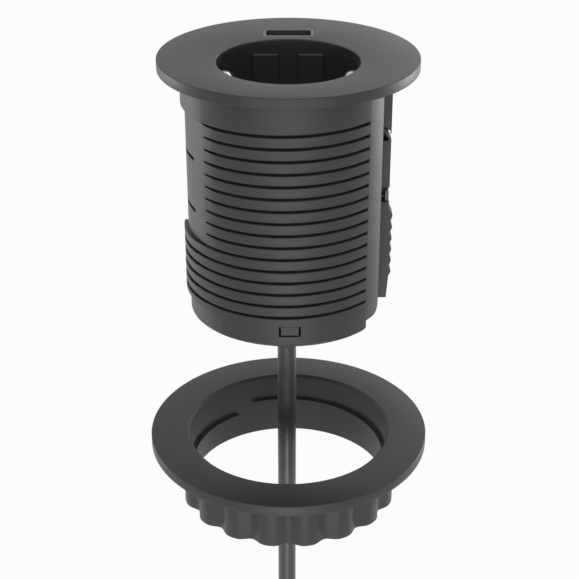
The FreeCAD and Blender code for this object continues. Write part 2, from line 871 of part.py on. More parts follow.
def port_contacts():
    face = port_y + 0.85 - tongue_t / 2
    z1 = flange_t - tongue_drop - 1.0
    z0 = port_end + port_sheet + tongue_root
    return [
        box(x - port_contact_width / 2, x + port_contact_width / 2, face - port_contact_t, face,
            z0, z1)
        for x in [(i - 1.5) * port_contact_pitch for i in range(4)]
    ]


def charger_board():
    return box(-board_x / 2, board_x / 2, board_back, board_face, -board_depth, -board_top)


def transformer():
    x, y, z = transformer_size
    core = box(-x / 2, x / 2, board_back - y, board_back, -transformer_top - z, -transformer_top)
    winding = box(-x / 2 - transformer_collar, x / 2 + transformer_collar,
                  board_back - y + transformer_step, board_back - transformer_step,
                  -transformer_top - z + transformer_flange, -transformer_top - transformer_flange)
    return fused(core, winding)


def capacitors():
    z1 = port_end - capacitor_port_gap
    y = board_face + capacitor_r
    cans = []
    for x in (-capacitor_x, capacitor_x):
        can = rod(capacitor_r, x, y, z1 - capacitor_length, z1)
        groove_low = z1 - 7 * capacitor_groove
        groove_high = z1 - 5 * capacitor_groove
        groove = rod(capacitor_r + 1, x, y, groove_low, groove_high).cut(
            rod(capacitor_r - capacitor_groove, x, y, groove_low, groove_high)
        )
        cans.append(can.cut(groove))
    return cans


def board_chips():
    x, y, z = chip_size
    return [
        box(cx - x / 2, cx + x / 2, board_face, board_face + y, rise - board_depth,
            rise - board_depth + z)
        for cx, rise in chip_places
    ]


# Inner leads, from the end of the lead's sheath to the three terminals.


def inner_lead(start_x, start_y, end_x, end_y, end_z):
    return bent_rod(
        wire_r,
        (
            (start_x, start_y, sheath_top),
            (start_x, start_y, sheath_top + lead_run),
            (end_x, end_y, cover_bottom - lead_run),
            (end_x, end_y, end_z),
        ),
    )


# Bottom cover with its snap tabs and cord grip.


def bottom_cover():
    disc = rod(foot_cover_r, 0, 0, foot_cover_bottom, foot_cover_top)
    pieces = []
    tab_top = -snap_window_top - (snap_window_height - snap_tab_height) / 2
    for angle in (0.0, 180.0):
        rim = sector(foot_cover_r - foot_rim_wall, foot_cover_r, angle - foot_rim_half_angle,
                     angle + foot_rim_half_angle, foot_cover_top, foot_cover_top + foot_rim_height)
        tab = box(-snap_tab_width / 2, snap_tab_width / 2, -land_r + snap_tab_inset,
                  -foot_cover_r + snap_tab_root, tab_top - snap_tab_height, tab_top)
        pieces += [rim, turned_round(tab, angle)]
    saddle = box(cord_x - grip_half_width, cord_x + grip_half_width, grip_gap, grip_back,
                 foot_cover_top, grip_top)
    body = fused(disc, *pieces, saddle)
    rail_notch = rail_width / 2 + rail_cover_gap
    cuts = [
        box(channel_r - 0.5 - rail_cover_gap, foot_cover_r + 1, -rail_notch, rail_notch,
            foot_cover_bottom - 1, foot_cover_top + 1),
        rod(gland_neck_r + 0.1, cord_x, 0, foot_cover_bottom - 1, foot_cover_top + 1),
        rod(gland_flange_r + 0.3, cord_x, 0, foot_cover_top, foot_cover_top + gland_inner_t + 0.3),
        rod(cord_r + cord_clearance, cord_x, 0, foot_cover_top, grip_top + 1),
    ]
    cuts += [
        cross_rod(screw_r + screw_clearance, (cord_x + side * grip_screw_x, 0, grip_z), (0, 1, 0),
                  grip_back - 0.6)
        for side in (-1, 1)
    ]
    return body.cut(Part.makeCompound(cuts))


def cord_grip_bar():
    low = grip_z - grip_bar_height / 2
    bar = box(cord_x - grip_half_width, cord_x + grip_half_width, -grip_front, -grip_gap, low,
              low + grip_bar_height)
    cuts = [rod(cord_r + cord_clearance, cord_x, 0, low - 1, low + grip_bar_height + 1)]
    cuts += [
        cross_rod(screw_r + 0.2, (cord_x + side * grip_screw_x, -grip_front - 1, grip_z),
                  (0, 1, 0), grip_front + 1)
        for side in (-1, 1)
    ]
    return bar.cut(Part.makeCompound(cuts))


def grip_screws():
    return [
        cross_screw((cord_x + side * grip_screw_x, -grip_front, grip_z), (0, 1, 0),
                    grip_front + grip_back - 1.2)
        for side in (-1, 1)
    ]


def cord_gland():
    bore = cord_r + cord_clearance
    collar_foot = foot_cover_bottom - gland_collar_t
    body = turned(
        (bore, gland_end, 0), (gland_cone_end_r, gland_end, 0),
        (gland_cone_top_r, collar_foot, 0), (gland_flange_r, collar_foot, 0.6),
        (gland_flange_r, foot_cover_bottom, 0), (gland_neck_r, foot_cover_bottom, 0),
        (gland_neck_r, foot_cover_top, 0), (gland_flange_r, foot_cover_top, 0),
        (gland_flange_r, foot_cover_top + gland_inner_t, 0.6),
        (bore, foot_cover_top + gland_inner_t, 0),
    )
    return moved(body, cord_x)


# Lock ring: thin flange, lobed grip skirt and one turn of thread rib.


def lobed_outline(z):
    middle_r = (ring_lobe_r + ring_valley_r) / 2
    step = 360.0 / ring_lobes

    def at(r, angle):
        a = math.radians(angle - 90.0)
        return FreeCAD.Vector(r * math.cos(a), r * math.sin(a), z)

    edges = []
    for i in range(ring_lobes):
        crest = step * (i + 0.5)
        edges.append(
            Part.Arc(at(middle_r, crest - 0.29 * step), at(ring_lobe_r, crest),
                     at(middle_r, crest + 0.29 * step)).toShape()
        )
        edges.append(
            Part.Arc(at(middle_r, crest + 0.29 * step), at(ring_valley_r, crest + step / 2),
                     at(middle_r, crest + 0.71 * step)).toShape()
        )
    return Part.Wire(edges)


def lock_ring():
    top = -ring_top
    under = top - ring_flange_t
    flange = turned(
        (ring_bore_r + ring_edge, top, 0), (ring_flange_r, top, 0.3), (ring_flange_r, under, 0.5),
        (ring_bore_r, under, 0), (ring_bore_r, top - ring_edge, 0),
    )
    skirt = Part.Face(lobed_outline(ring_bottom)).extrude(FreeCAD.Vector(0, 0, under - ring_bottom))
    hole = turned(
        (0, ring_bottom - 1, 0), (ring_bore_r + ring_foot_edge, ring_bottom - 1, 0),
        (ring_bore_r + ring_foot_edge, ring_bottom, 0),
        (ring_bore_r, ring_bottom + ring_foot_edge, 0), (ring_bore_r, under + 1, 0),
        (0, under + 1, 0),
    )
    tip_r = land_r - rib_bite
    root_r = ring_bore_r + 0.2
    profile = (
        (tip_r, -rib_t / 2), (root_r, -rib_root_t / 2), (root_r, rib_root_t / 2), (tip_r, rib_t / 2)
    )
    rib_end = rib_start_angle + rib_turn
    front_z = top - rib_top_drop - pitch * rib_end / 360.0
    rib = helical_bar(profile, front_z, rib_start_angle, rib_end)
    return fused(fused(flange, skirt).cut(hole), rib)


# Lead, hank, tie and plug.


def racetrack(r, y0, y1):
    slab = box(cord_x - r, cord_x + r, y0, y1, hank_foot_z, hank_fold_z)
    ends = [cross_rod(r, (cord_x, y0, z), (0, 1, 0), y1 - y0) for z in (hank_fold_z, hank_foot_z)]
    return fused(slab, *ends)


def cord_hank():
    outer = racetrack(hank_outer, hank_front, hank_back)
    rims = [edge for edge in outer.Edges if edge.BoundBox.YLength < 0.01]
    outer = outer.makeFillet(hank_edge, rims)
    return outer.cut(racetrack(hank_inner, hank_front - 1, hank_back + 1))


def cable_tie():
    middle = (hank_fold_z + hank_foot_z) / 2
    inner = hank_outer + tie_gap
    outer = inner + tie_t
    z0 = middle - tie_width / 2
    z1 = middle + tie_width / 2

    def band(r, y_gap):
        y0 = hank_front - y_gap
        y1 = hank_back + y_gap
        corner = hank_edge + y_gap
        return plate(
            (
                (cord_x - r, y0, corner), (cord_x + r, y0, corner),
                (cord_x + r, y1, corner), (cord_x - r, y1, corner),
            ),
            "z", z0, z1,
        )

    return band(outer, tie_gap + tie_t).cut(band(inner, tie_gap))


def plug_body():
    z = plug_top
    body = turned(
        (0, plug_face, 0), (plug_r, plug_face, 1.0), (plug_r, plug_face + plug_face_height, 2.0),
        (plug_grip_r, plug_face + plug_face_height + plug_shoulder, 3.0),
        (plug_grip_r - plug_grip_taper, z - plug_relief_length, 4.0),
        (plug_relief_r + plug_relief_flare, z - plug_relief_length + plug_relief_step, 1.5),
        (plug_relief_r, z, 0), (0, z, 0),
    )
    cuts = []
    for side in (-1, 1):
        y0, y1 = sorted((side * plug_flat, side * (plug_r + 1)))
        side_top = plug_face + plug_side_depth
        half_flat = key_gap / 2 + key_width + strip_side_gap
        flat = box(-half_flat, half_flat, y0, y1, plug_face - 1, side_top)
        rib = box(-plug_rib / 2, plug_rib / 2, y0, y1, plug_face - 1, side_top)
        cuts.append(flat.cut(rib))
        x0, x1 = sorted((side * (plug_r - strip_recess), side * (plug_r + 1)))
        half_channel = strip_width / 2 + strip_side_gap
        cuts.append(box(x0, x1, -half_channel, half_channel, plug_face - 1,
                        plug_face + strip_length + strip_end_gap))
    cuts += [rod(plug_pin_r, 0, y, plug_face - 1, plug_face + plug_pin_root)
             for y in (-pin_spacing / 2, pin_spacing / 2)]
    return moved(body.cut(Part.makeCompound(cuts)), tail_x, tail_y)


def plug_pins():
    pins = []
    for y in (-pin_spacing / 2, pin_spacing / 2):
        pin = moved(
            turned(
                (0, -plug_pin_length, 0), (plug_pin_r, -plug_pin_length, 1.6),
                (plug_pin_r, plug_pin_root, 0), (0, plug_pin_root, 0),
            ),
            tail_x, tail_y + y, plug_face,
        )
        pins.append(pin)
    return pins


def plug_earth_strips():
    strips = []
    for side in (-1, 1):
        inner_x = plug_r - strip_recess
        x0, x1 = sorted((side * inner_x, side * (inner_x + strip_t)))
        strips.append(
            box(tail_x + x0, tail_x + x1, tail_y - strip_width / 2, tail_y + strip_width / 2,
                plug_face, plug_face + strip_length)
        )
    return strips


save("housing", housing())
save("socket_insert", socket_insert())
save("earth_clips", earth_clips())
for name, y in zip(("live_contact", "neutral_contact"), contact_places()):
    save(name, pin_contact(y))
save("terminal_screws", *terminal_screws())
save("contact_cover", contact_cover())
save("insert_screws", *insert_screws())
save("charging_port_shell", port_shell())
save("charging_port_tongue", port_tongue())
save("charging_port_contacts", *port_contacts())
save("charger_board", charger_board())
save("charger_transformer", transformer())
save("board_capacitors", *capacitors())
save("board_chips", *board_chips())
save("live_lead", inner_lead(cord_x + 1.25, 0.75, terminal_x, contact_places()[0],
                             contact_bottom + 3.9))
save("neutral_lead", inner_lead(cord_x + 1.25, -1.4, terminal_x, contact_places()[1],
                                contact_bottom + 3.9))
save("earth_lead", inner_lead(cord_x - 1.4, -0.3, -terminal_x, recess_y, earth_screw_z() + 1.5))
save("bottom_cover", bottom_cover())
save("cord_grip_bar", cord_grip_bar())
save("grip_screws", *grip_screws())
save("cord_gland", cord_gland())
save("cord_entry", rod(cord_r, cord_x, 0, gland_end, sheath_top))
save("lock_ring", lock_ring())
save("power_cord", rod(cord_r, cord_x, 0, -hank_top, gland_end))
hank = cord_hank()
save("cord_hank", hank)
save("cord_tie", cable_tie())
save("power_cord_tail", rod(cord_r, tail_x, tail_y, plug_top, hank_foot_z).cut(hank))
save("plug_body", plug_body())
save("plug_pins", *plug_pins())
save("plug_earth_strips", *plug_earth_strips())
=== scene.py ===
# %% [markdown]
# # A desk socket, its lock ring and its lead
#
# The real object is a round socket unit for a desk top. A flanged tube with an interrupted thread
# drops into a hole in the desk. A ring comes up the lead from below and screws onto the tube. The
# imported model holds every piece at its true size, and this script gives the pieces their finish.
# The first cell loads that model. Its nodes are Blender objects already, in metres, so a new piece
# needs no fitting: it is made where the model says.

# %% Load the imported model
import math

import bpy
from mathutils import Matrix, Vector


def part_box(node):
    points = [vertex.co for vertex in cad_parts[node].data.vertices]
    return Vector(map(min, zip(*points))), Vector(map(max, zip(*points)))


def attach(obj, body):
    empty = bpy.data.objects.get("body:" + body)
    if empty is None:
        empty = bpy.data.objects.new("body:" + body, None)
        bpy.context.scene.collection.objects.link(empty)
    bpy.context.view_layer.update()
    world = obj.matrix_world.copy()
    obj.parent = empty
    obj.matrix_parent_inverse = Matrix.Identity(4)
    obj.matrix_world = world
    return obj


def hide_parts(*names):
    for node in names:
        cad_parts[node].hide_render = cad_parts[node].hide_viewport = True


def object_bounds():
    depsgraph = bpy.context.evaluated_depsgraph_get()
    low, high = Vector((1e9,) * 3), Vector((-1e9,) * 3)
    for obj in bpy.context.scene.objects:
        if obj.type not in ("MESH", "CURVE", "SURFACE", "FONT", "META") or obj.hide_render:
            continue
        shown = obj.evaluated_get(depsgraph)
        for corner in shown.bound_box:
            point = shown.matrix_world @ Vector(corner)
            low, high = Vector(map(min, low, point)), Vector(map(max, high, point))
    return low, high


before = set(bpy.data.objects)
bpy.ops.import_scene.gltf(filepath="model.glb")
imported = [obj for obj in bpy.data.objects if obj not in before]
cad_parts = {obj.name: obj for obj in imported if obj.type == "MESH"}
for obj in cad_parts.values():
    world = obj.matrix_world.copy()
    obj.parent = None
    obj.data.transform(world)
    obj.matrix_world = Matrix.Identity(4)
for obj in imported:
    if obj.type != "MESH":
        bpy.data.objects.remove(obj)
cad_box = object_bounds()
MM = 0.001

# %% [markdown]
# ## The camera comes first
#
# A picture can only be compared when it is taken from the same place. The photograph was taken
# from above and in front, with a long lens. The numbers were worked out from the flange's two
# edges and from the ring, whose true shapes are circles.

# %% Camera
CAMERA_PLACE = (0.305 * MM, -358.571 * MM, 116.247 * MM)
CAMERA_FALL = 27.222
CAMERA_LENS = 85.44
SENSOR_WIDTH = 36.0

camera_data = bpy.data.cameras.new("camera")
camera_data.lens = CAMERA_LENS
camera_data.sensor_width = SENSOR_WIDTH
camera_data.clip_start = 0.01
camera = bpy.data.objects.new("camera", camera_data)
camera.location = CAMERA_PLACE
camera.rotation_euler = (math.radians(90 - CAMERA_FALL), 0, 0)
bpy.context.scene.collection.objects.link(camera)
bpy.context.scene.camera = camera
print("camera is", round(camera.location.length, 3), "m from the flange")

# %% [markdown]
# ## Sizes that several pieces share
#
# The radii of the tube are written once here, with the heights that several pieces meet at. The
# ring round the tube and the pieces inside it are worked out from these names. The boxes of the
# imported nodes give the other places.

# %% Shared sizes, in millimetres and degrees
FLANGE_R = 35.7
FLANGE_T = 3.0
CEILING = 0.9  # top of the hollow, inside the flange
LAND_R = 29.66  # the collar and the threaded land
CORE_R = 28.49  # the lower wall between the lands
BORE_R = 26.39
CHANNEL_R = 26.19  # bottom of the side channel
CHANNEL_BORE_R = 24.59
TUBE_FOOT = -71.31
RECESS_Y = -5.03
RECESS_R = 19.3
PORT_Y = 20.36
LAND_HALF = 47.2  # half the angle that the threaded land takes
PITCH = 3.5
CORD_X = -0.5
CORD_R = 2.8

# %% [markdown]
# ## Tools for the bench
#
# Operators act on all that is selected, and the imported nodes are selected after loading. So each
# helper starts from a clean selection. The last four work on a mesh that is open in edit mode:
# they extrude it, merge its close points, close its open ends and turn its faces outwards.


# %% Selection
def deselect_all():
    if bpy.context.object and bpy.context.object.mode != "OBJECT":
        bpy.ops.object.mode_set(mode="OBJECT")
    bpy.ops.object.select_all(action="DESELECT")


def take(piece):
    deselect_all()
    piece.select_set(True)
    bpy.context.view_layer.objects.active = piece


def edit(piece):
    take(piece)
    bpy.ops.object.mode_set(mode="EDIT")
    bpy.ops.mesh.select_mode(type="VERT")
    bpy.ops.mesh.select_all(action="SELECT")


def leave_edit():
    bpy.ops.object.mode_set(mode="OBJECT")


def edit_chosen(piece, chosen):
    """Opens the piece in edit mode with only the vertices selected for which chosen is true."""
    edit(piece)
    bpy.ops.mesh.select_all(action="DESELECT")
    leave_edit()
    for v in piece.data.vertices:
        v.select = chosen(v)
    bpy.ops.object.mode_set(mode="EDIT")


def extrude_by(step):
    """Extrudes what is selected in edit mode by a step in metres."""
    bpy.ops.mesh.extrude_region_move(TRANSFORM_OT_translate={"value": step})


def merge_close(distance):
    bpy.ops.mesh.select_all(action="SELECT")
    bpy.ops.mesh.remove_doubles(threshold=distance * MM)


def cap_open_ends():
    bpy.ops.mesh.select_all(action="DESELECT")
    bpy.ops.mesh.select_non_manifold()
    bpy.ops.mesh.fill_holes(sides=0)


def face_outwards():
    """Turns the faces of the mesh in edit mode outwards, and leaves edit mode."""
    bpy.ops.mesh.select_all(action="SELECT")
    bpy.ops.mesh.normals_make_consistent(inside=False)
    leave_edit()


# %% Modifiers, places and copies
def apply_modifier(piece, kind, **settings):
    take(piece)
    modifier = piece.modifiers.new(kind.lower(), kind)
    for key, value in settings.items():
        setattr(modifier, key, value)
    bpy.ops.object.modifier_apply(modifier=modifier.name)
    return piece


def settle(piece):
    """Puts the piece's place into its mesh."""
    take(piece)
    bpy.ops.object.transform_apply(location=True, rotation=True, scale=True)
    return piece


def own_copy(piece):
    take(piece)
    bpy.ops.object.duplicate()
    return bpy.context.object


def turned_copy(piece, angle):
    """Copy turned about Z by an angle in degrees."""
    copy = own_copy(piece)
    copy.rotation_euler = (0, 0, math.radians(angle))
    return settle(copy)


def lowered_copy(piece, drop):
    copy = own_copy(piece)
    copy.location = (0, 0, -drop * MM)
    return settle(copy)


def mirrored_copy(piece):
    """Copy on the other side of the plane y = 0, with its normals put right."""
    copy = own_copy(piece)
    copy.scale.y = -1.0
    settle(copy)
    edit(copy)
    face_outwards()
    return copy


# %% [markdown]
# ## Drawing
#
# A turned piece starts as half a section and a flat one as an outline. Both are drawn vertex by
# vertex, as with E and a mouse click. Corners are given as on a workshop drawing, each with its
# radius, and the helper below puts the arcs in.


# %% Outlines
def plan_point(r, angle):
    """Point (x, y) at an angle from the front towards +X, in degrees."""
    turn = math.radians(angle - 90.0)
    return (r * math.cos(turn), r * math.sin(turn))


def draw_outline(name, points, closed=True):
    """Mesh of one line through the points (x, y, z in millimetres), extruded vertex by vertex."""
    deselect_all()
    start = Vector(points[0]) * MM
    bpy.ops.mesh.primitive_plane_add(size=MM, location=start)
    piece = bpy.context.object
    piece.name = name
    settle(piece)
    edit(piece)
    bpy.ops.mesh.merge(type="CENTER")
    at = start
    for point in points[1:]:
        step = Vector(point) * MM - at
        extrude_by(step)
        at = at + step
    leave_edit()
    if closed:
        join_ends(piece)
    return piece


def join_ends(piece):
    uses = [0] * len(piece.data.vertices)
    for edge in piece.data.edges:
        for v in edge.vertices:
            uses[v] += 1
    edit_chosen(piece, lambda v: uses[v.index] == 1)
    bpy.ops.mesh.edge_face_add()
    leave_edit()


def arc_points(middle, r, start, end, steps):
    """Points (a, b) of an arc from angle start to angle end, in degrees."""
    return [
        (
            middle[0] + r * math.cos(math.radians(start + (end - start) * i / steps)),
            middle[1] + r * math.sin(math.radians(start + (end - start) * i / steps)),
        )
        for i in range(steps + 1)
    ]


def rectangle(a0, a1, b0, b1):
    """The four corners, from (a0, b0) round to (a0, b1)."""
    return [(a0, b0), (a1, b0), (a1, b1), (a0, b1)]


def rounded(corners, steps):
    """Corners (a, b) or (a, b, round) become points, with an arc at each rounded corner."""
    points = []
    for i, corner in enumerate(corners):
        here = Vector(corner[:2])
        r = corner[2] if len(corner) > 2 else 0
        if not r:
            points.append(tuple(here))
            continue
        back = (Vector(corners[i - 1][:2]) - here).normalized()
        ahead = (Vector(corners[(i + 1) % len(corners)][:2]) - here).normalized()
        half = back.angle(ahead) / 2
        reach = r / math.tan(half)
        middle = here + (back + ahead).normalized() * (r / math.sin(half))
        a = here + back * reach - middle
        b = here + ahead * reach - middle
        start = math.atan2(a.y, a.x)
        turn = a.angle_signed(b)
        for k in range(steps + 1):
            t = start - turn * k / steps
            points.append((middle.x + r * math.cos(t), middle.y + r * math.sin(t)))
    return points


# %% [markdown]
# ## Turning, extruding and carving
#
# Spin carries a section round the Z axis, as a lathe does. It turns clockwise for a positive
# angle, so the angle is given with the other sign. A slab is an outline with a thickness. The exact
# Boolean then adds and cuts, because the real tool for such a housing is made in the same steps.

# %% Turned pieces and slabs
STEP_ANGLE = 2.0


def turned(name, corners, span=(0.0, 360.0), steps_per_round=4, at=(0, 0)):
    """Spins the section (radius, height) round Z. Angles count from the front towards +X."""
    section = rounded(corners, steps_per_round)
    piece = draw_outline(name, [(*plan_point(r, span[0]), z) for r, z in section])
    edit(piece)
    bpy.ops.mesh.spin(
        steps=max(3, round((span[1] - span[0]) / STEP_ANGLE)),
        angle=math.radians(span[0] - span[1]),
        center=(0, 0, 0),
        axis=(0, 0, 1),
    )
    merge_close(0.002)
    if span[1] - span[0] < 360.0:
        cap_open_ends()
    face_outwards()
    piece.location = (at[0] * MM, at[1] * MM, 0)
    return settle(piece)


def slab(name, corners, low, high, axis="z", steps=6):
    """Flat outline of corners (a, b, round) given a thickness along the axis, from low to high."""
    place = {
        "z": lambda a, b: (a, b, low),
        "y": lambda a, b: (a, low, b),
        "x": lambda a, b: (low, a, b),
    }[axis]
    piece = draw_outline(name, [place(a, b) for a, b in rounded(corners, steps)])
    rise = Vector((0.0, 0.0, 0.0))
    rise["xyz".index(axis)] = (high - low) * MM
    edit(piece)
    bpy.ops.mesh.edge_face_add()
    extrude_by(rise)
    face_outwards()
    return piece


def block(name, x, y, z):
    """Box between the pairs x, y and z."""
    return slab(name, rectangle(*x, *y), *z)


# %% Joining and carving
def combine(piece, other, operation):
    apply_modifier(piece, "BOOLEAN", object=other, operation=operation, solver="EXACT")
    bpy.data.objects.remove(other, do_unlink=True)
    return piece


def cut(piece, *cutters):
    for cutter in cutters:
        combine(piece, cutter, "DIFFERENCE")
    return piece


def add(piece, *others):
    for other in others:
        combine(piece, other, "UNION")
    return piece


def joined(*pieces):
    """One object of several, with nothing merged."""
    take(pieces[0])
    for other in pieces[1:]:
        other.select_set(True)
    bpy.ops.object.join()
    return pieces[0]


def throw_away(*patterns):
    for pattern in patterns:
        bpy.data.objects.remove(pattern, do_unlink=True)


def soft_bevel(piece, width, segments, sharp):
    """Breaks the edges that are sharper than an angle in degrees."""
    return apply_modifier(piece, "BEVEL", width=width * MM, segments=segments,
                          limit_method="ANGLE", angle_limit=math.radians(sharp))


def finish_piece(piece, body, material, smooth=30.0, replaces=()):
    """Smooth shading, material and body in one place, and hides the imported pieces it replaces."""
    edit(piece)
    merge_close(0.001)
    bpy.ops.mesh.select_all(action="DESELECT")
    leave_edit()
    bpy.ops.object.shade_smooth_by_angle(angle=math.radians(smooth))
    piece.data.materials.clear()
    piece.data.materials.append(material)
    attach(piece, body)
    if replaces:
        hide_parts(*replaces)
    print(piece.name, len(piece.data.polygons), "faces")
    return piece


# %% [markdown]
# ## Writing materials as sums
#
# A material is a chain of small calculations. Written with plain nodes it is long and hard to read.
# The class below wraps one socket, and its operators add Math nodes. So a mask times a shade can be
# written as a sum in Python.


# %% Sockets that can be added up
class Field:
    def __init__(self, tree, socket):
        self.tree = tree
        self.socket = socket

    def _math(self, operation, other=None):
        node = self.tree.nodes.new("ShaderNodeMath")
        node.operation = operation
        for i, value in enumerate((self, other)):
            if isinstance(value, Field):
                self.tree.links.new(value.socket, node.inputs[i])
            elif value is not None:
                node.inputs[i].default_value = value
        return Field(self.tree, node.outputs[0])

    def __add__(self, other):
        return self._math("ADD", other)

    def __sub__(self, other):
        return self._math("SUBTRACT", other)

    def __mul__(self, other):
        return self._math("MULTIPLY", other)

    def over(self, edge):
        return self._math("GREATER_THAN", edge)

    def at_most(self, limit):
        return self._math("MINIMUM", limit)

    def sine(self):
        return self._math("SINE")


# %% A material under construction
class Finish:
    """A material, its tree, its shader and a maker of other nodes."""

    def __init__(self, name):
        self.material = bpy.data.materials.new(name)
        self.material.use_nodes = True
        self.tree = self.material.node_tree
        self.tree.nodes.clear()
        self.shader = self.tree.nodes.new("ShaderNodeBsdfPrincipled")
        output = self.tree.nodes.new("ShaderNodeOutputMaterial")
        self.tree.links.new(self.shader.outputs[0], output.inputs["Surface"])
        coordinates = self.tree.nodes.new("ShaderNodeTexCoord")
        self.place = Field(self.tree, coordinates.outputs["Object"])

    def fill(self, node, values):
        """Links or sets each input by its name, with a _ for each space."""
        for key, value in values.items():
            name = key.replace("_", " ")
            socket = [s for s in node.inputs if s.name == name and s.enabled][0]
            if isinstance(value, Field):
                self.tree.links.new(value.socket, socket)
            elif isinstance(value, tuple) and socket.type == "RGBA":
                socket.default_value = (*value, 1.0)
            else:
                socket.default_value = value

    def node(self, kind, output=0, settings=None, **inputs):
        node = self.tree.nodes.new("ShaderNode" + kind)
        for key, value in (settings or {}).items():
            setattr(node, key, value)
        self.fill(node, inputs)
        return Field(self.tree, node.outputs[output])

    def noise(self, scale, detail, roughness, place=None):
        return self.node("TexNoise", Vector=place or self.place, Scale=scale, Detail=detail,
                         Roughness=roughness)

    def blend(self, share, a, b):
        """Colour a where share is 0 and b where it is 1."""
        return self.node("Mix", output=2, settings={"data_type": "RGBA"}, Factor=share, A=a, B=b)

    def axes(self):
        split = self.tree.nodes.new("ShaderNodeSeparateXYZ")
        self.tree.links.new(self.place.socket, split.inputs[0])
        return [Field(self.tree, split.outputs[i]) for i in range(3)]

    def soft_edges(self, radius):
        return self.node("Bevel", settings={"samples": 4}, Radius=radius)

    def bump(self, height, distance, strength, normal=None):
        inputs = {"Height": height, "Distance": distance, "Strength": strength}
        if normal:
            inputs["Normal"] = normal
        return self.node("Bump", **inputs)

    def set(self, **values):
        self.fill(self.shader, values)
        return self.material


# %% [markdown]
# ## Moulded plastic
#
# The tube, the insert and the ring are moulded in one dark plastic. Its tool was spark eroded, so
# the skin has a very fine grain that spreads the light, and only flat edges look bright. Two noise
# scales give the grain, and a slow third one changes the gloss a little from place to place. Such a
# skin shines a little less than a polished one, so its specular level is lowered.

# %% Moulded plastic
MOULDED_GREY = (0.040, 0.040, 0.041)
MOULDED_PALE = (0.047, 0.047, 0.048)
MOULDED_ROUGHNESS = 0.46
MOULDED_EDGE = 0.14


def moulded_plastic(name):
    finish = Finish(name)
    grain = finish.noise(scale=5200.0, detail=2.0, roughness=0.6)
    flow = finish.noise(scale=45.0, detail=3.0, roughness=0.55)
    wide = finish.noise(scale=1500.0, detail=2.0, roughness=0.5)
    edges = finish.soft_edges(MOULDED_EDGE * MM)
    return finish.set(
        Base_Color=finish.blend(flow * 0.6 + grain * 0.4, MOULDED_GREY, MOULDED_PALE),
        Roughness=(flow - 0.5) * 0.10 + (grain - 0.5) * 0.06 + MOULDED_ROUGHNESS,
        Normal=finish.bump(grain * 0.7 + wide * 0.3, 0.02 * MM, 0.55, edges),
        IOR=1.5,
        Specular_IOR_Level=0.4,
    )


PLASTIC = moulded_plastic("moulded_plastic")
print("material", PLASTIC.name)

# %% [markdown]
# ## The lead's jacket and the metals
#
# The lead's jacket is a smooth rubbery plastic with a soft shine along its length, so it gets a
# slow mottle and almost no bump. The earth clips are bare spring steel with fine drawn lines: a
# noise that is stretched along one axis gives the lines, and a second one the tarnish.

# %% Jacket and metals
JACKET_GREY = (0.036, 0.036, 0.037)
BUSH_GREY = (0.034, 0.034, 0.035)
STEEL_GREY = (0.58, 0.58, 0.57)
PORT_GREY = (0.13, 0.13, 0.13)
CAN_GREY = (0.6, 0.61, 0.63)
BRASS_GOLD = (0.60, 0.42, 0.16)
DRAWN_LINES = (400.0, 9000.0, 400.0)


def cord_jacket(name, colour, roughness):
    finish = Finish(name)
    mottle = finish.noise(scale=160.0, detail=3.0, roughness=0.6)
    skin = finish.noise(scale=2600.0, detail=2.0, roughness=0.5)
    pale = tuple(c * 1.35 for c in colour)
    return finish.set(
        Base_Color=finish.blend(mottle, colour, pale),
        Roughness=(mottle - 0.5) * 0.12 + roughness,
        Normal=finish.bump(skin, 0.01 * MM, 0.06),
        Specular_IOR_Level=0.7,
    )


def drawn_metal(name, colour, roughness=0.24):
    finish = Finish(name)
    lines = finish.node("Mapping", Vector=finish.place, Scale=DRAWN_LINES)
    drawn = finish.noise(scale=1.0, detail=2.0, roughness=0.6, place=lines)
    tarnish = finish.noise(scale=220.0, detail=3.0, roughness=0.6)
    dull = tuple(c * 0.72 for c in colour)
    return finish.set(
        Base_Color=finish.blend(tarnish, colour, dull),
        Metallic=1.0,
        Roughness=(drawn - 0.5) * 0.16 + (tarnish - 0.5) * 0.12 + roughness,
        Normal=finish.bump(drawn, 0.01 * MM, 0.4, finish.soft_edges(0.08 * MM)),
    )


JACKET = cord_jacket("cord_jacket", JACKET_GREY, 0.36)
SOFT_BUSH = cord_jacket("soft_bush", BUSH_GREY, 0.55)
STEEL = drawn_metal("spring_steel", STEEL_GREY)
PORT_STEEL = drawn_metal("port_steel", PORT_GREY, 0.42)
BRASS = drawn_metal("contact_brass", BRASS_GOLD)
CAN = drawn_metal("capacitor_can", CAN_GREY, 0.35)
print("jacket", JACKET.name, "metals", STEEL.name, PORT_STEEL.name, BRASS.name, CAN.name)

# %% [markdown]
# ## Small plastics, the board and the tie
#
# The pieces inside the tube are never seen from outside, but they still get a finish of their own.
# The board's tracks are where two sine waves are both high. The tie is hook-and-loop cloth: its fuzz
# is a fine noise with a little sheen over it.


# %% Small plastics, board and tie
def plain_plastic(name, colour, roughness):
    finish = Finish(name)
    flow = finish.noise(scale=90.0, detail=3.0, roughness=0.5)
    grain = finish.noise(scale=1800.0, detail=2.0, roughness=0.5)
    pale = tuple(min(1.0, c * 1.2 + 0.004) for c in colour)
    return finish.set(
        Base_Color=finish.blend(flow, colour, pale),
        Roughness=(flow - 0.5) * 0.1 + roughness,
        Normal=finish.bump(grain, 0.015 * MM, 0.4, finish.soft_edges(0.1 * MM)),
    )


def circuit_board(name):
    finish = Finish(name)
    x, _, z = finish.axes()
    tracks = ((x * 1900.0).sine() * (z * 1300.0).sine()).over(0.55)
    weave = finish.noise(scale=3000.0, detail=2.0, roughness=0.5)
    return finish.set(
        Base_Color=finish.blend(tracks, (0.012, 0.07, 0.03), (0.03, 0.14, 0.06)),
        Roughness=weave * 0.12 + 0.3,
        Normal=finish.bump(tracks + weave * 0.3, 0.03 * MM, 0.5),
    )


